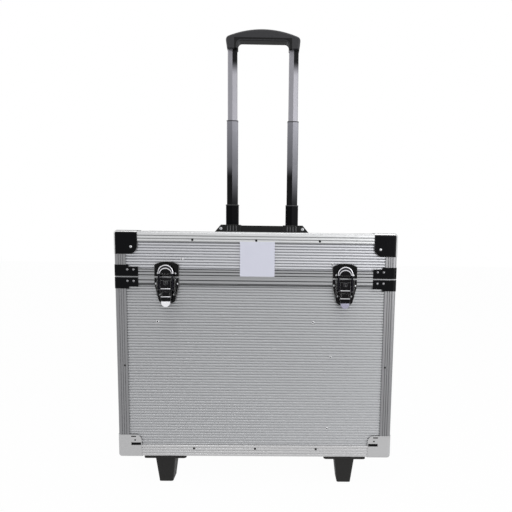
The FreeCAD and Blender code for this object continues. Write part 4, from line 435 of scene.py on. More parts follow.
NODE_FINISHES = {
    "lid sheet painted lighter": ["lid_front_panel", "lid_rear_panel", "lid_end_panels"],
    "ribbed sheet": ["lid_top_panel", "body_front_panel", "body_rear_panel", "body_end_panels"],
    "top frame": ["lid_edge_profiles"],
    "base frame": ["base_edge_profiles"],
    "post": ["lid_corner_posts", "body_corner_posts"],
    "rim": ["lid_rim_profile", "body_rim_profile"],
    "silver fitting": ["base_corner_caps"],
    "black latch": ["latch_plates", "latch_keepers"],
    "moulding": ["vent_grille", "wheel_housings", "release_button", "trolley_clamps", "instrument_rail",
                 "regulator_knob", "power_inlet", "power_rocker"],
    "bracket": ["trolley_top_bracket"],
    "grip": ["trolley_grip"],
    "bail": ["latch_bail_" + latch for latch in LATCH_NAMES],
    "board": ["base_panel"],
    "foot": ["front_feet", "compressor_mounts"],
    "tyre": ["wheel_left", "wheel_right"],
    "steel": ["wheel_axles", "tank_saddles"],
    "tube lower": ["trolley_outer_tubes"],
    "tube middle": ["trolley_middle_tubes"],
    "tube upper": ["trolley_inner_tubes"],
    "deck": ["control_deck"],
    "motor": ["compressor_motor"],
    "head": ["compressor_head"],
    "tank": ["air_tank"],
    "hose": ["air_hoses"],
    "brass": ["valve_block"],
    "chrome": ["pressure_gauge"],
    "cap": ["bottle_caps"],
    "bottle": ["water_bottle", "waste_bottle"],
    "instrument": ["three_way_syringe", "handpieces"],
    "foam": ["lid_foam_liner"],
}


def paint(piece, material):
    """Gives a piece one material all over."""
    slots = piece.data.materials
    if not slots:
        slots.append(material)
    for i in range(len(slots)):
        slots[i] = material


for label, names in NODE_FINISHES.items():
    for name in names:
        paint(nodes[name], FINISHES[label])


# ---- making pieces ----
WELD, SHARP_ANGLE = 1e-6, math.radians(35)


def add(name, data):
    """A new object in the scene."""
    made = bpy.data.objects.new(name, data)
    bpy.context.scene.collection.objects.link(made)
    return made


def carry(piece, body):
    """Makes a piece ride on a body."""
    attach(piece, body)


def make_piece(name, body, slot, material, maker, *given):
    """A named piece that maker(bm, *given) builds, and that rides on a body."""
    mesh = bpy.data.meshes.new(name)
    bm = bmesh.new()
    maker(bm, *given)
    bmesh.ops.remove_doubles(bm, verts=bm.verts, dist=WELD)
    bmesh.ops.recalc_face_normals(bm, faces=bm.faces)
    bm.to_mesh(mesh)
    bm.free()
    mesh.shade_smooth()
    mesh.set_sharp_from_angle(angle=SHARP_ANGLE)
    piece = add(name, mesh)
    paint(piece, FINISHES[material])
    carry(piece, body)
    return piece


def reshaped(name, body, material, node_name, move):
    """A piece that stands for a node: a copy of its mesh with the points moved."""
    mesh = nodes[node_name].data.copy()
    for point in mesh.vertices:
        point.co = move(point.co.copy())
    mesh.update()
    piece = add(name, mesh)
    paint(piece, FINISHES[material])
    carry(piece, body)
    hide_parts(node_name)


def join_rings(bm, rings):
    """Faces between each ring of points and the next; a ring may be a single point."""
    for low, high in zip(rings, rings[1:]):
        steps = max(len(low), len(high))
        for i in range(steps):
            j = (i + 1) % steps
            corners = (low[i % len(low)], low[j % len(low)], high[j % len(high)], high[i % len(high)])
            unique = list(dict.fromkeys(corners))
            if len(unique) > 2:
                bm.faces.new(unique)


def prism(bm, levels):
    """A closed solid through rings of places."""
    rings = [[bm.verts.new(place) for place in level] for level in levels]
    join_rings(bm, rings)
    bm.faces.new(rings[-1])
    bm.faces.new(list(reversed(rings[0])))


def turned_profile(bm, place, profile, steps=20):
    """A round solid on (radius, height) points, which end on the axis or where they start."""
    angles = [2 * math.pi * i / steps for i in range(steps)]
    join_rings(bm, [[bm.verts.new(place @ Vector((radius * math.cos(a), radius * math.sin(a), height)))
                     for a in (angles if radius else angles[:1])] for radius, height in profile])


def turned_profiles(bm, frames, profile, steps=20):
    """One round solid at each frame."""
    for at in frames:
        turned_profile(bm, at, profile, steps)


def facing(x, y, z, direction):
    """A frame at a place whose Z points in a direction."""
    return Matrix.Translation((x, y, z)) @ Vector(direction).to_track_quat("Z", "Y").to_matrix().to_4x4()


OUT = {"front": (0, -1, 0), "rear": (0, 1, 0), "left": (-1, 0, 0), "right": (1, 0, 0)}
UP, DOWN = (0, 0, 1), (0, 0, -1)

# Heads as multiples of their radius; what is below the seat is in metres.
SHANK = -0.0006
RIVET = [(0.0, SHANK), (1.0, SHANK), (1.0, 0.0), (0.93, 0.16), (0.72, 0.3), (0.42, 0.4), (0.0, 0.44)]
POP_RIVET = [(0.0, SHANK), (1.0, SHANK), (1.0, 0.05), (0.92, 0.2), (0.78, 0.32), (0.66, 0.34), (0.58, 0.3),
             (0.58, 0.1), (0.0, 0.1)]
PIN_STUB = [(0.0, 0.0), (1.0, 0.0), (1.0, 0.5), (0.7, 0.7), (0.0, 0.7)]
FLAT_RIVET = [(0.0, SHANK), (1.0, SHANK), (1.0, 0.0), (0.92, 0.1), (0.6, 0.16), (0.5, 0.06), (0.0, 0.06)]
SOCKET_SCREW = [(0.0, SHANK), (1.0, SHANK), (1.0, 0.3), (0.9, 0.5), (0.72, 0.62), (0.5, 0.64), (0.44, 0.6),
                (0.44, 0.16), (0.0, 0.16)]


def sized(shape, radius):
    """A shape's profile for a radius."""
    return [(r * radius, h if h < 0 else h * radius) for r, h in shape]


def rivets(name, body, slot, material, places, radius, shape=RIVET):
    """Rivet heads at (x, y, z, direction) places."""
    make_piece(name, body, slot, material, turned_profiles, [facing(*place) for place in places],
               sized(shape, radius))


def screws(name, places, radius):
    """Pan-head screws with a socket, in the case."""
    rivets(name, "case", "steel", "steel", places, radius, SOCKET_SCREW)


def mirrored(*values):
    """The values below zero and above it."""
    return [sign * value for sign in BOTH for value in values]


def all_round(xs, ys, z, proud=0.0):
    """Places at one height, by X on the front and rear, and by the distance along Y on both ends."""
    places = []
    for x in xs:
        places += [(x, FRONT_Y - proud, z, OUT["front"]), (-x, REAR_Y + proud, z, OUT["rear"])]
    for y in ys:
        places += [(-HALF_WIDTH - proud, CENTRE_Y + y, z, OUT["left"]),
                   (HALF_WIDTH + proud, CENTRE_Y - y, z, OUT["right"])]
    return places


# ---- lid caps and seam clips ----
CAP_REACH, CAP_ROUND = 0.036, 0.010        # the node's free edges and their corners' radius
WIDE_REACH, WIDE_ROUND = 0.0369, 0.0135
CLIP_STEP, CLIP_ADDED = 0.020, 0.0027      # how far in the clips' step is, and what their length grows by
CLIP_LIFT, SEAM_EDGES = 0.0006, 0.003      # how far edges move that are this near the seam
SLACK = 0.00005                            # tolerance of these tests


def from_corner(point):
    """A point's distances in from a case corner: along X, along Y and down from the lid's top."""
    return [HALF_WIDTH - abs(point.x), HALF_DEPTH - abs(point.y - CENTRE_Y), TOP_Z - point.z]


def back_from_corner(point, inward):
    """The point with new distances in from its case corner."""
    return Vector((math.copysign(HALF_WIDTH - inward[0], point.x),
                   CENTRE_Y + math.copysign(HALF_DEPTH - inward[1], point.y - CENTRE_Y), TOP_Z - inward[2]))


def rounder_cap(point):
    """Moves the caps' free edges out and gives their free corners a larger radius."""
    inward = from_corner(point)
    old, new = CAP_REACH - CAP_ROUND, WIDE_REACH - WIDE_ROUND
    bent = [i for i in range(3) if inward[i] > old - SLACK]
    for i in bent:
        if len(bent) == 2:
            inward[i] = new + (inward[i] - old) * WIDE_ROUND / CAP_ROUND
        elif inward[i] > CAP_REACH - SLACK:
            inward[i] = WIDE_REACH
    return back_from_corner(point, inward)


def longer_clip(point):
    """Moves the clips' free ends and steps along, and their edges at the seam nearer to it."""
    inward = from_corner(point)
    for i in (0, 1):
        if inward[i] > CLIP_STEP - SLACK:
            inward[i] += CLIP_ADDED
    moved = back_from_corner(point, inward)
    if abs(moved.z - SEAM_Z) < SEAM_EDGES:
        moved.z -= math.copysign(CLIP_LIFT, moved.z - SEAM_Z)
    return moved


reshaped("rounded_lid_caps", "lid", "black cap", "lid_corner_caps", rounder_cap)
reshaped("long_lid_clips", "lid", "black fitting", "lid_seam_clips", longer_clip)
reshaped("long_body_clips", "case", "black fitting", "body_seam_clips", longer_clip)

# ---- rivets ----
FITTING_THICK = 0.0008                     # the caps' and clips' sheet
CAP_RIVET_XS, CAP_RIVET_YS, CAP_RIVET_Z = mirrored(0.198), mirrored(0.095), BASE_Z + 0.3468
CLIP_RIVET_XS, CLIP_RIVET_YS = mirrored(0.2043, 0.1946), mirrored(0.1003, 0.09)
LID_CLIP_Z, BODY_CLIP_Z = SEAM_Z + 0.0116, SEAM_Z - 0.0066
CAP_RIVET_RADIUS, SMALL_RIVET_RADIUS = 0.0022, 0.0019
PROFILE_RIVET_XS, PROFILE_RIVET_YS = (-0.101, 0.0, 0.101), (-0.04, 0.04)
TOP_RIVET_Z, BASE_RIVET_Z = BASE_Z + 0.3586, BASE_Z + 0.0144
POST_RIVET_X, POST_RIVET_Z, POST_RIVET_RADIUS = 0.2117, BASE_Z + 0.1545, 0.0017
POP_RIVET_RADIUS, POP_PIN_RADIUS = 0.0023, 0.0013
PANEL_FACE = 0.0018                        # depth of the panels' seats behind the profiles' faces
PANEL_SPOTS = {                            # X, and the height above the base
    "lid": ((-0.1181, 0.3277), (0.121, 0.3226)),
    "body": ((-0.1582, 0.2269), (0.0924, 0.2279), (0.1217, 0.171), (0.1189, 0.0496)),
}

rivets("lid_cap_rivets", "lid", "silver_fitting", "steel",
       all_round(CAP_RIVET_XS, CAP_RIVET_YS, CAP_RIVET_Z, FITTING_THICK), CAP_RIVET_RADIUS)
for part, z, body in (("lid", LID_CLIP_Z, "lid"), ("body", BODY_CLIP_Z, "case")):
    rivets(part + "_clip_rivets", body, "silver_fitting", "rivet",
           all_round(CLIP_RIVET_XS, CLIP_RIVET_YS, z, FITTING_THICK), SMALL_RIVET_RADIUS)
for part, z, body in (("top", TOP_RIVET_Z, "lid"), ("base", BASE_RIVET_Z, "case")):
    rivets(part + "_profile_rivets", body, "steel", "black fitting",
           all_round(PROFILE_RIVET_XS, PROFILE_RIVET_YS, z), SMALL_RIVET_RADIUS, FLAT_RIVET)
rivets("post_rivets", "case", "steel", "black fitting", all_round(mirrored(POST_RIVET_X), (), POST_RIVET_Z),
       POST_RIVET_RADIUS, FLAT_RIVET)
for part, body in (("lid", "lid"), ("body", "case")):
    seats = [(x, FRONT_Y + PANEL_FACE, BASE_Z + rise, OUT["front"]) for x, rise in PANEL_SPOTS[part]]
    rivets(part + "_panel_rivets", body, "steel", "bright rivet", seats, POP_RIVET_RADIUS, POP_RIVET)
    # Black pins in the rivets' centre holes: painted shade of the holes.
    rivets(part + "_panel_rivet_hole_shade", body, "steel", "black fitting", seats, POP_PIN_RADIUS, PIN_STUB)


# ---- label plate and slots of the base caps ----
LABEL_X, LABEL_Z = 0.0018, BASE_Z + 0.3291
LABEL_SIZE, LABEL_THICK, LABEL_ROUND = 0.0552, 0.0008, 0.001
# X, height above the base, length and height of each slot in a base cap.
CAP_SLOTS = ((0.196, 0.0224, 0.0162, 0.0048), (0.1976, 0.0288, 0.0028, 0.0026), (0.2, 0.035, 0.0082, 0.0022))
SLOT_BACK, SLOT_FACE = 0.0019, 0.0003      # depth behind the profile's face, and height above it
SLOT_ROUND = 0.2                           # the corners' radius as a share of the narrower side
SOFT_SHARE = 0.3                           # a plate's soft front edge as a share of its thickness


def rounded_plate(bm, place, width, height, thickness, radius, steps=5):
    """A flat plate with round corners and a soft front edge, standing on its place's XY plane."""
    outline = []
    for cx, cy, start in ((1, 1, 0), (-1, 1, 90), (-1, -1, 180), (1, -1, 270)):
        for i in range(steps + 1):
            a = math.radians(start + 90 * i / steps)
            outline.append((cx * (width / 2 - radius) + radius * math.cos(a),
                            cy * (height / 2 - radius) + radius * math.sin(a)))
    soft = thickness * SOFT_SHARE
    levels = []
    for z, inset in ((0.0, 0.0), (thickness - soft, 0.0), (thickness, soft)):
        shrink_x, shrink_y = 1 - 2 * inset / width, 1 - 2 * inset / height
        levels.append([place @ Vector((x * shrink_x, y * shrink_y, z)) for x, y in outline])
    prism(bm, levels)


def slot_insets(bm):
    """Dark plates that stand just inside the caps' slots, front and rear, as painted shade for the dark
    inside them.
    """
    for sign in BOTH:
        for x, rise, length, height in CAP_SLOTS:
            for y, side in ((FRONT_Y + SLOT_BACK, "front"), (REAR_Y - SLOT_BACK, "rear")):
                rounded_plate(bm, facing(sign * x, y, BASE_Z + rise, OUT[side]), length, height,
                              SLOT_BACK + SLOT_FACE, min(length, height) * SLOT_ROUND)


make_piece("label_plate", "lid", "edge_profile", "label", rounded_plate,
           facing(LABEL_X, FRONT_Y, LABEL_Z, OUT["front"]), LABEL_SIZE, LABEL_SIZE, LABEL_THICK, LABEL_ROUND)
make_piece("base_cap_slot_insets", "case", "silver_fitting", "black fitting", slot_insets)


# ---- latches ----
# A latch's own frame: X across, Y outwards from the case, Z up, from its middle at the seam.
KEEPER_RIVETS = ((0.0137, 0.0062),)
PLATE_RIVETS = ((0.0169, -0.0105), (0.0108, -0.0274))
LATCH_RIVET_RADIUS, ROUND_STEPS = 0.0017, 16
PLATE_FACE, LEVER_FACE, BAR_FACE = 0.0016, 0.0098, 0.0106
PIN_PLACE = (0.0147, 0.005, -0.004)        # outer end of a stub pin in its cheek
PIN_END = [(0.0, -0.0002), (0.0019, -0.0002), (0.0019, 0.0002), (0.0013, 0.0006), (0.0, 0.0006)]
BAR_DROPS, BAR_SUNK = (0.0176, 0.0304), 0.0001
BAR_CAP = (0.0152, 0.0013, 0.0004, 0.0006, 3)    # width, height, thickness, corners' radius and steps
LOCK_DROP, LOCK_RADIUS, LOCK_SUNK, LOCK_STEPS = 0.0082, 0.0031, 0.0002, 24
LOCK_RING = [(1.0, 0.0), (1.0, 0.12), (1.1, 0.2), (1.22, 0.12), (1.22, 0.0), (1.0, 0.0)]
TONGUE_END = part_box("latch_lever_front_left")[0].z
TONGUE_NECK, TONGUE_BEND = TONGUE_END + 0.0105, TONGUE_END + 0.007
TONGUE_NARROWING, TONGUE_ROUNDING, ROUNDING_POWER = 0.08, 0.46, 2.2
BAND_ARCS = ((0.01105, 0.0078), (0.01025, 0.0054))    # radius, and the centre's height above the seam
BAND_BACK, BAND_FACE, BAND_STEPS = LEVER_FACE - 0.0003, LEVER_FACE + 0.0001, 20


def latch_frame(name):
    face, side = name.split("_")
    x = LATCH_X if side == "right" else -LATCH_X
    if face == "rear":
        return Matrix.Translation((x, REAR_Y, SEAM_Z))
    return Matrix.Translation((x, FRONT_Y, SEAM_Z)) @ Matrix.Rotation(math.pi, 4, "Z")


def outward(latch, x, z, depth):
    """A frame at a latch's (x, z), depth out from the case, whose Z points outwards and Y upwards."""
    return (latch_frame(latch) @ Matrix.Translation((x, depth, z))
            @ Matrix.Rotation(math.radians(-90), 4, "X"))


def latch_rivets(bm, spots):
    """Rivet heads on both sides of every latch, at (x, z) spots."""
    frames = [outward(latch, sign * x, z, PLATE_FACE) for latch in LATCH_NAMES for x, z in spots
              for sign in BOTH]
    turned_profiles(bm, frames, sized(RIVET, LATCH_RIVET_RADIUS), ROUND_STEPS)


def pin_ends(bm):
    """The peened ends of the stub pins on the cheeks."""
    x, y, z = PIN_PLACE
    turned_profiles(bm, [latch_frame(latch) @ Matrix.Translation((sign * x, y, z))
                         @ Matrix.Rotation(math.radians(90 * sign), 4, "Y")
                         for latch in LATCH_NAMES for sign in BOTH], PIN_END, ROUND_STEPS)


def held(value):
    """The value, held between 0 and 1."""
    return min(1.0, max(0.0, value))


def rounder_tongue(point):
    """Narrows a lever's finger tongue, and rounds its end."""
    narrowed = held((TONGUE_NECK - point.z) / (TONGUE_NECK - TONGUE_BEND))
    down = held((TONGUE_BEND - point.z) / (TONGUE_BEND - TONGUE_END))
    middle_x = math.copysign(LATCH_X, point.x)
    share = 1 - TONGUE_NARROWING * narrowed - TONGUE_ROUNDING * down ** ROUNDING_POWER
    return Vector((middle_x + (point.x - middle_x) * share, point.y, point.z))


def lever_trim(bm, latch):
    """Bright caps on the lever's bars."""
    for drop in BAR_DROPS:
        rounded_plate(bm, outward(latch, 0, -drop, BAR_FACE - BAR_SUNK), *BAR_CAP)


def lock_ring(bm, latch):
    turned_profile(bm, outward(latch, 0, -LOCK_DROP, LEVER_FACE - LOCK_SUNK), sized(LOCK_RING, LOCK_RADIUS),
                   LOCK_STEPS)


def bail_inlay(bm, latch):
    """A dark band round the bail's arch, a painted dark reflection along its middle, so that its two edges
    stay bright.
    """
    at = latch_frame(latch)
    levels = []
    for i in range(BAND_STEPS + 1):
        a = math.pi * i / BAND_STEPS
        outer, inner = [(radius * math.cos(a), centre + radius * math.sin(a)) for radius, centre in BAND_ARCS]
        levels.append([at @ Vector((x, depth, z)) for (x, z), depth in (
            (outer, BAND_BACK), (outer, BAND_FACE), (inner, BAND_FACE), (inner, BAND_BACK))])
    prism(bm, levels)


make_piece("keeper_rivets", "lid", "chrome", "steel", latch_rivets, KEEPER_RIVETS)
make_piece("latch_plate_rivets", "case", "chrome", "steel", latch_rivets, PLATE_RIVETS)
make_piece("latch_pin_ends", "case", "chrome", "chrome", pin_ends)
for latch in LATCH_NAMES:
    lever = "latch_lever_" + latch
    reshaped("round_lever_" + latch, lever,
             "latch lever filmed" if latch == "front_right" else "latch lever", lever, rounder_tongue)
    make_piece("lever_trim_" + latch, lever, "chrome", "chrome", lever_trim, latch)
    if latch.startswith("front"):
        make_piece("lock_ring_" + latch, lever, "chrome", "dark chrome", lock_ring, latch)
    # The bail's dark band: painted reflection.
    make_piece("bail_inlay_" + latch, "latch_bail_" + latch, "chrome", "dark chrome", bail_inlay, latch)


# ---- screws ----
def middle(name):
    """The middle of a node's box."""
    low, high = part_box(name)
    return (low + high) / 2


DECK_SCREW_INSET, DECK_SCREW_RADIUS = 0.009, 0.0032
GRILLE_SCREW_INSET, GRILLE_SCREW_RADIUS = 0.006, 0.0028
CLAMP_SCREW_X, CLAMP_ZS, CLAMP_SCREW_RADIUS = 0.0172, (0.089, 0.313), 0.0026
FOOT_X, FOOT_SCREW_X, FOOT_SCREW_YS, FOOT_SCREW_RADIUS = 0.15, 0.0285, (0.012, 0.042), 0.003
FLANGE_UNDER = BASE_Z - 0.0044

deck_low, deck_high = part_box("control_deck")
deck_xs = (deck_low.x + DECK_SCREW_INSET, 0.0, deck_high.x - DECK_SCREW_INSET)
deck_ys = (deck_low.y + DECK_SCREW_INSET, deck_high.y - DECK_SCREW_INSET)
screws("deck_screws", [(x, y, deck_high.z, UP) for x in deck_xs for y in deck_ys], DECK_SCREW_RADIUS)
grille_low, grille_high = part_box("vent_grille")
grille_xs = (grille_low.x + GRILLE_SCREW_INSET, grille_high.x - GRILLE_SCREW_INSET)
grille_zs = (grille_low.z + GRILLE_SCREW_INSET, grille_high.z - GRILLE_SCREW_INSET)
screws("grille_screws", [(x, grille_high.y, z, OUT["rear"]) for x in grille_xs for z in grille_zs],
       GRILLE_SCREW_RADIUS)
clamp_back_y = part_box("trolley_clamps")[1].y
screws("clamp_screws", [(tube + x, clamp_back_y, z, OUT["rear"]) for tube in mirrored(TUBE_X)
                        for x in mirrored(CLAMP_SCREW_X) for z in CLAMP_ZS], CLAMP_SCREW_RADIUS)
feet_front_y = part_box("front_feet")[0].y
screws("foot_screws", [(foot + x, feet_front_y + y, FLANGE_UNDER, DOWN) for foot in mirrored(FOOT_X)
                       for x in mirrored(FOOT_SCREW_X) for y in FOOT_SCREW_YS], FOOT_SCREW_RADIUS)


# ---- tubes and bracket ----
OUTER_TUBE, MIDDLE_TUBE, INNER_TUBE = (0.0260, 0.0180), (0.0224, 0.0144), (0.0192, 0.0112)
TUBE_RIDGE = 0.002                         # how far the front and back rise to their middle
COLLAR_LIP, COLLAR_RISE, COLLAR_SKIRT, COLLAR_GAP = 0.0003, 0.0007, 0.0010, 0.0001
SOCKET_GROOVES = (-0.009, -0.003, 0.003, 0.009)
GROOVE_DEPTH, INLAY_Z, INLAY = 0.0012, TOP_Z + 0.0075, (0.0013, 0.0105, 0.0010, 0.0005, 3)
BRACKET_SCREW_X, BRACKET_SCREW_Z, BRACKET_SCREW_RADIUS = 0.0838, TOP_Z + 0.0072, 0.0034
BRACKET_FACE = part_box("trolley_top_bracket")[0].y


def tube_section(size, added):
    """The six corners of a tube's section, grown a little on all sides."""
    half, deep = size[0] / 2 + added, size[1] / 2 + added
    side = deep - TUBE_RIDGE
    return [(-half, -side), (0, -deep), (half, -side), (half, side), (0, deep), (-half, side)]


def collars(bm, tube, bore, top):
    """Guide rings in the mouths of a pair of tubes, closed rings with a bevelled top edge."""
    outside, inside = tube_section(tube, COLLAR_LIP), tube_section(bore, COLLAR_GAP)
    lines = [(outside, -COLLAR_SKIRT), (outside, COLLAR_RISE / 2), (tube_section(tube, 0.0), COLLAR_RISE),
             (inside, COLLAR_RISE), (inside, -COLLAR_SKIRT)]
    for middle_x in mirrored(TUBE_X):
        rings = [[bm.verts.new((middle_x + x, TUBE_Y + y, top + rise)) for x, y in section]
                 for section, rise in lines]
        join_rings(bm, rings + rings[:1])


def socket_inlays(bm):
    """Bright strips in the grooves of the two sockets."""
    for middle_x in mirrored(TUBE_X):
        for groove in SOCKET_GROOVES:
            rounded_plate(bm, facing(middle_x + groove, BRACKET_FACE + GROOVE_DEPTH, INLAY_Z, OUT["front"]),
                          *INLAY)


make_piece("middle_tube_collars", "middle_stage", "black_plastic", "moulding", collars, MIDDLE_TUBE,
           INNER_TUBE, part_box("trolley_middle_tubes")[1].z)
make_piece("outer_tube_collars", "case", "black_plastic", "collar", collars, OUTER_TUBE, MIDDLE_TUBE,
           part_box("trolley_outer_tubes")[1].z)
make_piece("socket_inlays", "case", "silver_fitting", "rivet", socket_inlays)
screws("bracket_screws",
       [(x, BRACKET_FACE, BRACKET_SCREW_Z, OUT["front"]) for x in mirrored(BRACKET_SCREW_X)],
       BRACKET_SCREW_RADIUS)


# ---- gauge and knob ----
gauge_middle = middle("pressure_gauge")
gauge_place = Matrix.Translation((gauge_middle.x, gauge_middle.y, 0))
DIAL_Z, DIAL_RADIUS, DIAL_SOFT = DECK_Z + 0.003, 0.0208, 0.0001
DIAL_FACE_Z = DIAL_Z + 0.0004
GLASS_LOW_Z, GLASS_HIGH_Z, GLASS_SOFT, DISC_STEPS = DIAL_Z + 0.0021, DIAL_Z + 0.0028, 0.0002, 48
SWEEP_START, SWEEP, DIAL_TOP, TICKS_PER_UNIT = 225.0, 270.0, 10, 5
TICK_END, TICK_THICK = 0.0188, 0.00008
LARGE_TICK, SMALL_TICK = (0.0158, 0.0006), (0.0172, 0.0003)    # where it starts, and its width
NEEDLE_TAIL, NEEDLE_TIP, NEEDLE_WIDE, NEEDLE_NARROW, NEEDLE_THICK = -0.0052, 0.0168, 0.0018, 0.0004, 0.0004
NEEDLE_Z = DIAL_FACE_Z + 0.0009
NEEDLE_HUB = [(0.0, -0.0008), (0.0026, -0.0008), (0.0026, 0.0009), (0.0018, 0.0012), (0.0, 0.0012)]
NUMERAL_SIZE, NUMERAL_THICK, NUMERAL_RADIUS, NUMERAL_STEP = 0.0042, 0.00004, 0.0126, 2
POINTER_START, POINTER_END, POINTER_WIDE, POINTER_SUNK = 0.002, 0.0112, 0.0016, 0.0002


def dial_angle(value):
    return math.radians(SWEEP_START - SWEEP * value / DIAL_TOP)


def at_dial(radius, angle, z):
    return Vector((gauge_middle.x + radius * math.cos(angle), gauge_middle.y + radius * math.sin(angle), z))


def flat_bar(bm, start, end, wide_start, wide_end, height):
    """A low tapered bar between two points of the same height."""
    along = (end - start).normalized()
    across = Vector((-along.y, along.x, 0))
    outline = [start + across * wide_start / 2, start - across * wide_start / 2,
               end - across * wide_end / 2, end + across * wide_end / 2]
    prism(bm, [outline, [p + Vector((0, 0, height)) for p in outline]])


def dial_ticks(bm):
    for i in range(TICKS_PER_UNIT * DIAL_TOP + 1):
        start, width = SMALL_TICK if i % TICKS_PER_UNIT else LARGE_TICK
        ends = [at_dial(radius, dial_angle(i / TICKS_PER_UNIT), DIAL_FACE_Z) for radius in (start, TICK_END)]
        flat_bar(bm, *ends, width, width, TICK_THICK)


def gauge_needle(bm):
    ends = [at_dial(radius, dial_angle(0.0), NEEDLE_Z) for radius in (NEEDLE_TAIL, NEEDLE_TIP)]
    flat_bar(bm, *ends, NEEDLE_WIDE, NEEDLE_NARROW, NEEDLE_THICK)
    turned_profile(bm, gauge_place @ Matrix.Translation((0, 0, NEEDLE_Z)), NEEDLE_HUB)


def disc(bm, low, high, soft):
    """A thin disc over the whole dial, with soft edges."""
    turned_profile(bm, gauge_place, [
        (0.0, low), (DIAL_RADIUS - soft, low), (DIAL_RADIUS, low + soft), (DIAL_RADIUS, high - soft),
        (DIAL_RADIUS - soft, high), (0.0, high)], DISC_STEPS)


make_piece("gauge_dial", "case", "gauge_case", "dial", disc, DIAL_Z, DIAL_FACE_Z, DIAL_SOFT)
make_piece("gauge_ticks", "case", "gauge_case", "ink", dial_ticks)
make_piece("gauge_needle", "case", "gauge_case", "needle", gauge_needle)
make_piece("gauge_glass", "case", "gauge_case", "glass", disc, GLASS_LOW_Z, GLASS_HIGH_Z, GLASS_SOFT)
for number in range(0, DIAL_TOP + 1, NUMERAL_STEP):
    words = bpy.data.curves.new("gauge_number_%d" % number, "FONT")
    words.body = str(number)
    words.size, words.extrude = NUMERAL_SIZE, NUMERAL_THICK
    words.align_x, words.align_y = "CENTER", "CENTER"
    words.materials.append(FINISHES["ink"])
    numeral = add("gauge_number_%d" % number, words)
    numeral.location = at_dial(NUMERAL_RADIUS, dial_angle(number), DIAL_FACE_Z + NUMERAL_THICK)
    carry(numeral, "case")

knob_middle, knob_top = middle("regulator_knob"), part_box("regulator_knob")[1].z
pointer_ends = [Vector((knob_middle.x, knob_middle.y + y, knob_top - POINTER_SUNK))
                for y in (POINTER_START, POINTER_END)]
make_piece("knob_pointer", "regulator_knob", "black_plastic", "dial", flat_bar, *pointer_ends, POINTER_WIDE,
           POINTER_WIDE, POINTER_SUNK)


# ---- wheel hubs ----
HUB_DISH, HUB_OUTER, HUB_INNER, HUB_SPOKES = 0.0028, 0.0155, 0.0083, 6
OUTER_RING, INNER_RING, RING_TOP, RING_STEPS = 0.0018, 0.0016, -0.0004, 36
SPOKE_ROOT, SPOKE_TIP, SPOKE_OVERLAP, SPOKE_TOP = 0.0011, 0.0008, 0.0008, -0.0006


def hub_web(bm, wheel):
    """A spoked ring in the dish of each side of a wheel."""
    low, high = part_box(wheel)
    centre = middle(wheel)
    spoke_end = HUB_OUTER - SPOKE_OVERLAP
    corners = ((HUB_INNER, -SPOKE_ROOT), (spoke_end, -SPOKE_TIP), (spoke_end, SPOKE_TIP),
               (HUB_INNER, SPOKE_ROOT))
    for sign, x in ((-1, low.x), (1, high.x)):
        at = Matrix.Translation((x, centre.y, centre.z)) @ Matrix.Rotation(math.radians(90 * sign), 4, "Y")
        for inner, outer in ((HUB_OUTER - OUTER_RING, HUB_OUTER), (HUB_INNER, HUB_INNER + INNER_RING)):
            turned_profile(bm, at, [(inner, -HUB_DISH), (inner, RING_TOP), (outer, RING_TOP),
                                    (outer, -HUB_DISH), (inner, -HUB_DISH)], RING_STEPS)
        for i in range(HUB_SPOKES):
            turn = at @ Matrix.Rotation(2 * math.pi * i / HUB_SPOKES, 4, "Z")
            prism(bm, [[turn @ Vector((along, across, rise)) for along, across in corners]
                       for rise in (-HUB_DISH, SPOKE_TOP)])


for wheel in ("wheel_left", "wheel_right"):
    make_piece("hub_web_" + wheel, wheel, "tyre", "hub", hub_web, wheel)


# ---- foam liner ----
FOAM_PITCH, FOAM_DEPTH, FOAM_FINENESS = 0.024, 0.011, 6    # the fineness is in faces to a pitch


def foam_mesh(bm):
    """A slab whose underside rises and falls like an egg tray."""
    low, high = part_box("lid_foam_liner")
    columns = int((high.x - low.x) / FOAM_PITCH * FOAM_FINENESS)
    rows = int((high.y - low.y) / FOAM_PITCH * FOAM_FINENESS)
    top, bottom = [], []
    for r in range(rows + 1):
        y = low.y + (high.y - low.y) * r / rows
        top.append([])
        bottom.append([])
        for c in range(columns + 1):
            x = low.x + (high.x - low.x) * c / columns
            wave = math.sin(2 * math.pi * x / FOAM_PITCH) * math.sin(2 * math.pi * y / FOAM_PITCH)
            bottom[-1].append(bm.verts.new((x, y, low.z + FOAM_DEPTH * (0.5 - 0.5 * wave))))
            top[-1].append(bm.verts.new((x, y, high.z)))
    for layer in (top, bottom):
        for r in range(rows):
            for c in range(columns):
                bm.faces.new((layer[r][c], layer[r][c + 1], layer[r + 1][c + 1], layer[r + 1][c]))
    edge = ([(0, c) for c in range(columns)] + [(r, columns) for r in range(rows)]
            + [(rows, c) for c in range(columns, 0, -1)] + [(r, 0) for r in range(rows, 0, -1)])
    for (r, c), (r2, c2) in zip(edge, edge[1:] + edge[:1]):
        bm.faces.new((bottom[r][c], bottom[r2][c2], top[r2][c2], top[r][c]))


foam = make_piece("lid_foam_pad", "lid", "foam", "foam", foam_mesh)
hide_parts("lid_foam_liner")


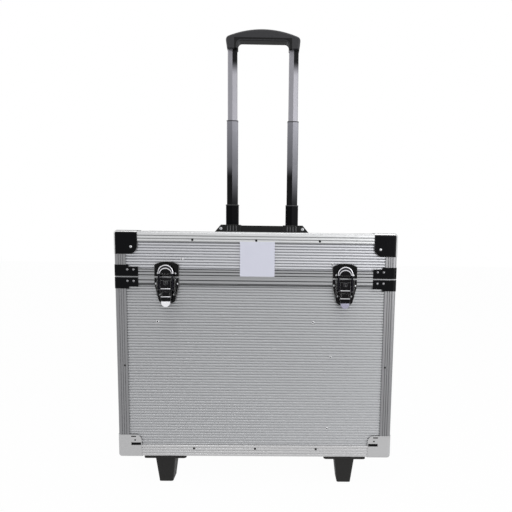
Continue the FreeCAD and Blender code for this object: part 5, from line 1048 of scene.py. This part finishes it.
# ---- stage, light and camera ----
FLOOR_REACH, FLOOR_COLOUR, FLOOR_COVER = 6.0, (252, 252, 252), 0.98
FLOOR_TONE, FLOOR_SCALE = 0.01, 30
WHITE = (1.0, 1.0, 1.0, 1.0)
SOFT_LIGHT = {"Color": (0.97, 0.98, 1.0, 1.0), "Strength": 0.34}
LAMPS = {                                  # place, the point it looks at, size and power
    "right lamp": ((1.45, -1.6, 0.85), (0.1, 0, 0.25), (2.0, 1.6), 25),
    "left lamp": ((-2.3, -1.0, 1.5), (0, 0, 0.3), (1.4, 1.4), 9),
    "top lamp": ((0.1, -0.2, 2.1), (0, -0.1, 0.3), (2.0, 0.5), 8),
    "glint lamp": ((0.7, -0.9, 2.0), (0, 0, 0.35), (0.3, 0.3), 1.2),
}
CAMERA_PLACE = (0.0369, -0.9252, 0.4175)
CAMERA_PITCH, CAMERA_YAW, CAMERA_ROLL = 6.44, -0.90, 0.75
FOCAL_PIXELS, FRAME_PIXELS, SENSOR, CLIP_START = 500.0, 512.0, 36.0, 0.02
AXIS_PIXELS = (286.8, 290.6)               # where the camera's axis meets the frame, from its top left


def seen(tree):
    """1 for what the camera sees, straight or by way of clear or shiny things, and 0 for other light."""
    path = node(tree, "LightPath").outputs
    return math_node(tree, "MAXIMUM", path["Is Camera Ray"],
                     math_node(tree, "MAXIMUM", path["Is Glossy Ray"], path["Is Transmission Ray"]))


def floor_finish():
    """A pale surface that is seen as white where nothing shades it."""
    material, tree, shader = new_material("pale floor")
    pale = shade(FLOOR_COLOUR)
    drift = use_group(tree, GRAIN, FLOOR_SCALE, FLOOR_SCALE, FLOOR_SCALE).outputs["Drift"]
    fill(tree, shader, Base_Color=mix_colour(tree, drift, tinted(pale, 1 - FLOOR_TONE), pale),
         Roughness=0.9, Specular_IOR_Level=0.1)
    glow = node(tree, "Emission", Color=WHITE, Strength=1.0)
    mixed = node(tree, "MixShader", math_node(tree, "MULTIPLY", seen(tree), FLOOR_COVER), shader, glow)
    fill(tree, tree.nodes["Material Output"], Surface=mixed)
    return material


def make_floor():
    mesh = bpy.data.meshes.new("floor")
    mesh.from_pydata([(FLOOR_REACH * x, FLOOR_REACH * y, 0) for x, y in ((-1, -1), (1, -1), (1, 1), (-1, 1))],
                     [], [(0, 1, 2, 3)])
    mesh.materials.append(floor_finish())
    add("floor", mesh)


def make_world():
    world = bpy.data.worlds.new("studio")
    bpy.context.scene.world = world
    world.use_nodes = True
    tree = world.node_tree
    tree.nodes.clear()
    white = node(tree, "Background", Color=WHITE, Strength=1.0)
    mixed = node(tree, "MixShader", seen(tree), node(tree, "Background", **SOFT_LIGHT), white)
    node(tree, "OutputWorld", Surface=mixed)


def make_lamps():
    for name, (place, aim, size, power) in LAMPS.items():
        data = bpy.data.lights.new(name, "AREA")
        data.shape = "RECTANGLE"
        data.size, data.size_y = size
        data.energy = power
        lamp = add(name, data)
        lamp.location = place
        lamp.rotation_euler = (Vector(aim) - Vector(place)).to_track_quat("-Z", "Y").to_euler()


def make_camera():
    data = bpy.data.cameras.new("camera")
    data.sensor_width = SENSOR
    data.lens = FOCAL_PIXELS / FRAME_PIXELS * SENSOR
    data.shift_x = (FRAME_PIXELS / 2 - AXIS_PIXELS[0]) / FRAME_PIXELS
    data.shift_y = (AXIS_PIXELS[1] - FRAME_PIXELS / 2) / FRAME_PIXELS
    data.clip_start = CLIP_START
    camera = add("camera", data)
    camera.matrix_world = (Matrix.Translation(CAMERA_PLACE)
                           @ Matrix.Rotation(math.radians(CAMERA_YAW), 4, "Z")
                           @ Matrix.Rotation(math.radians(90 - CAMERA_PITCH), 4, "X")
                           @ Matrix.Rotation(math.radians(CAMERA_ROLL), 4, "Z"))
    bpy.context.scene.camera = camera


make_floor()
make_world()
make_lamps()
make_camera()
bpy.context.scene.view_settings.view_transform = "Standard"
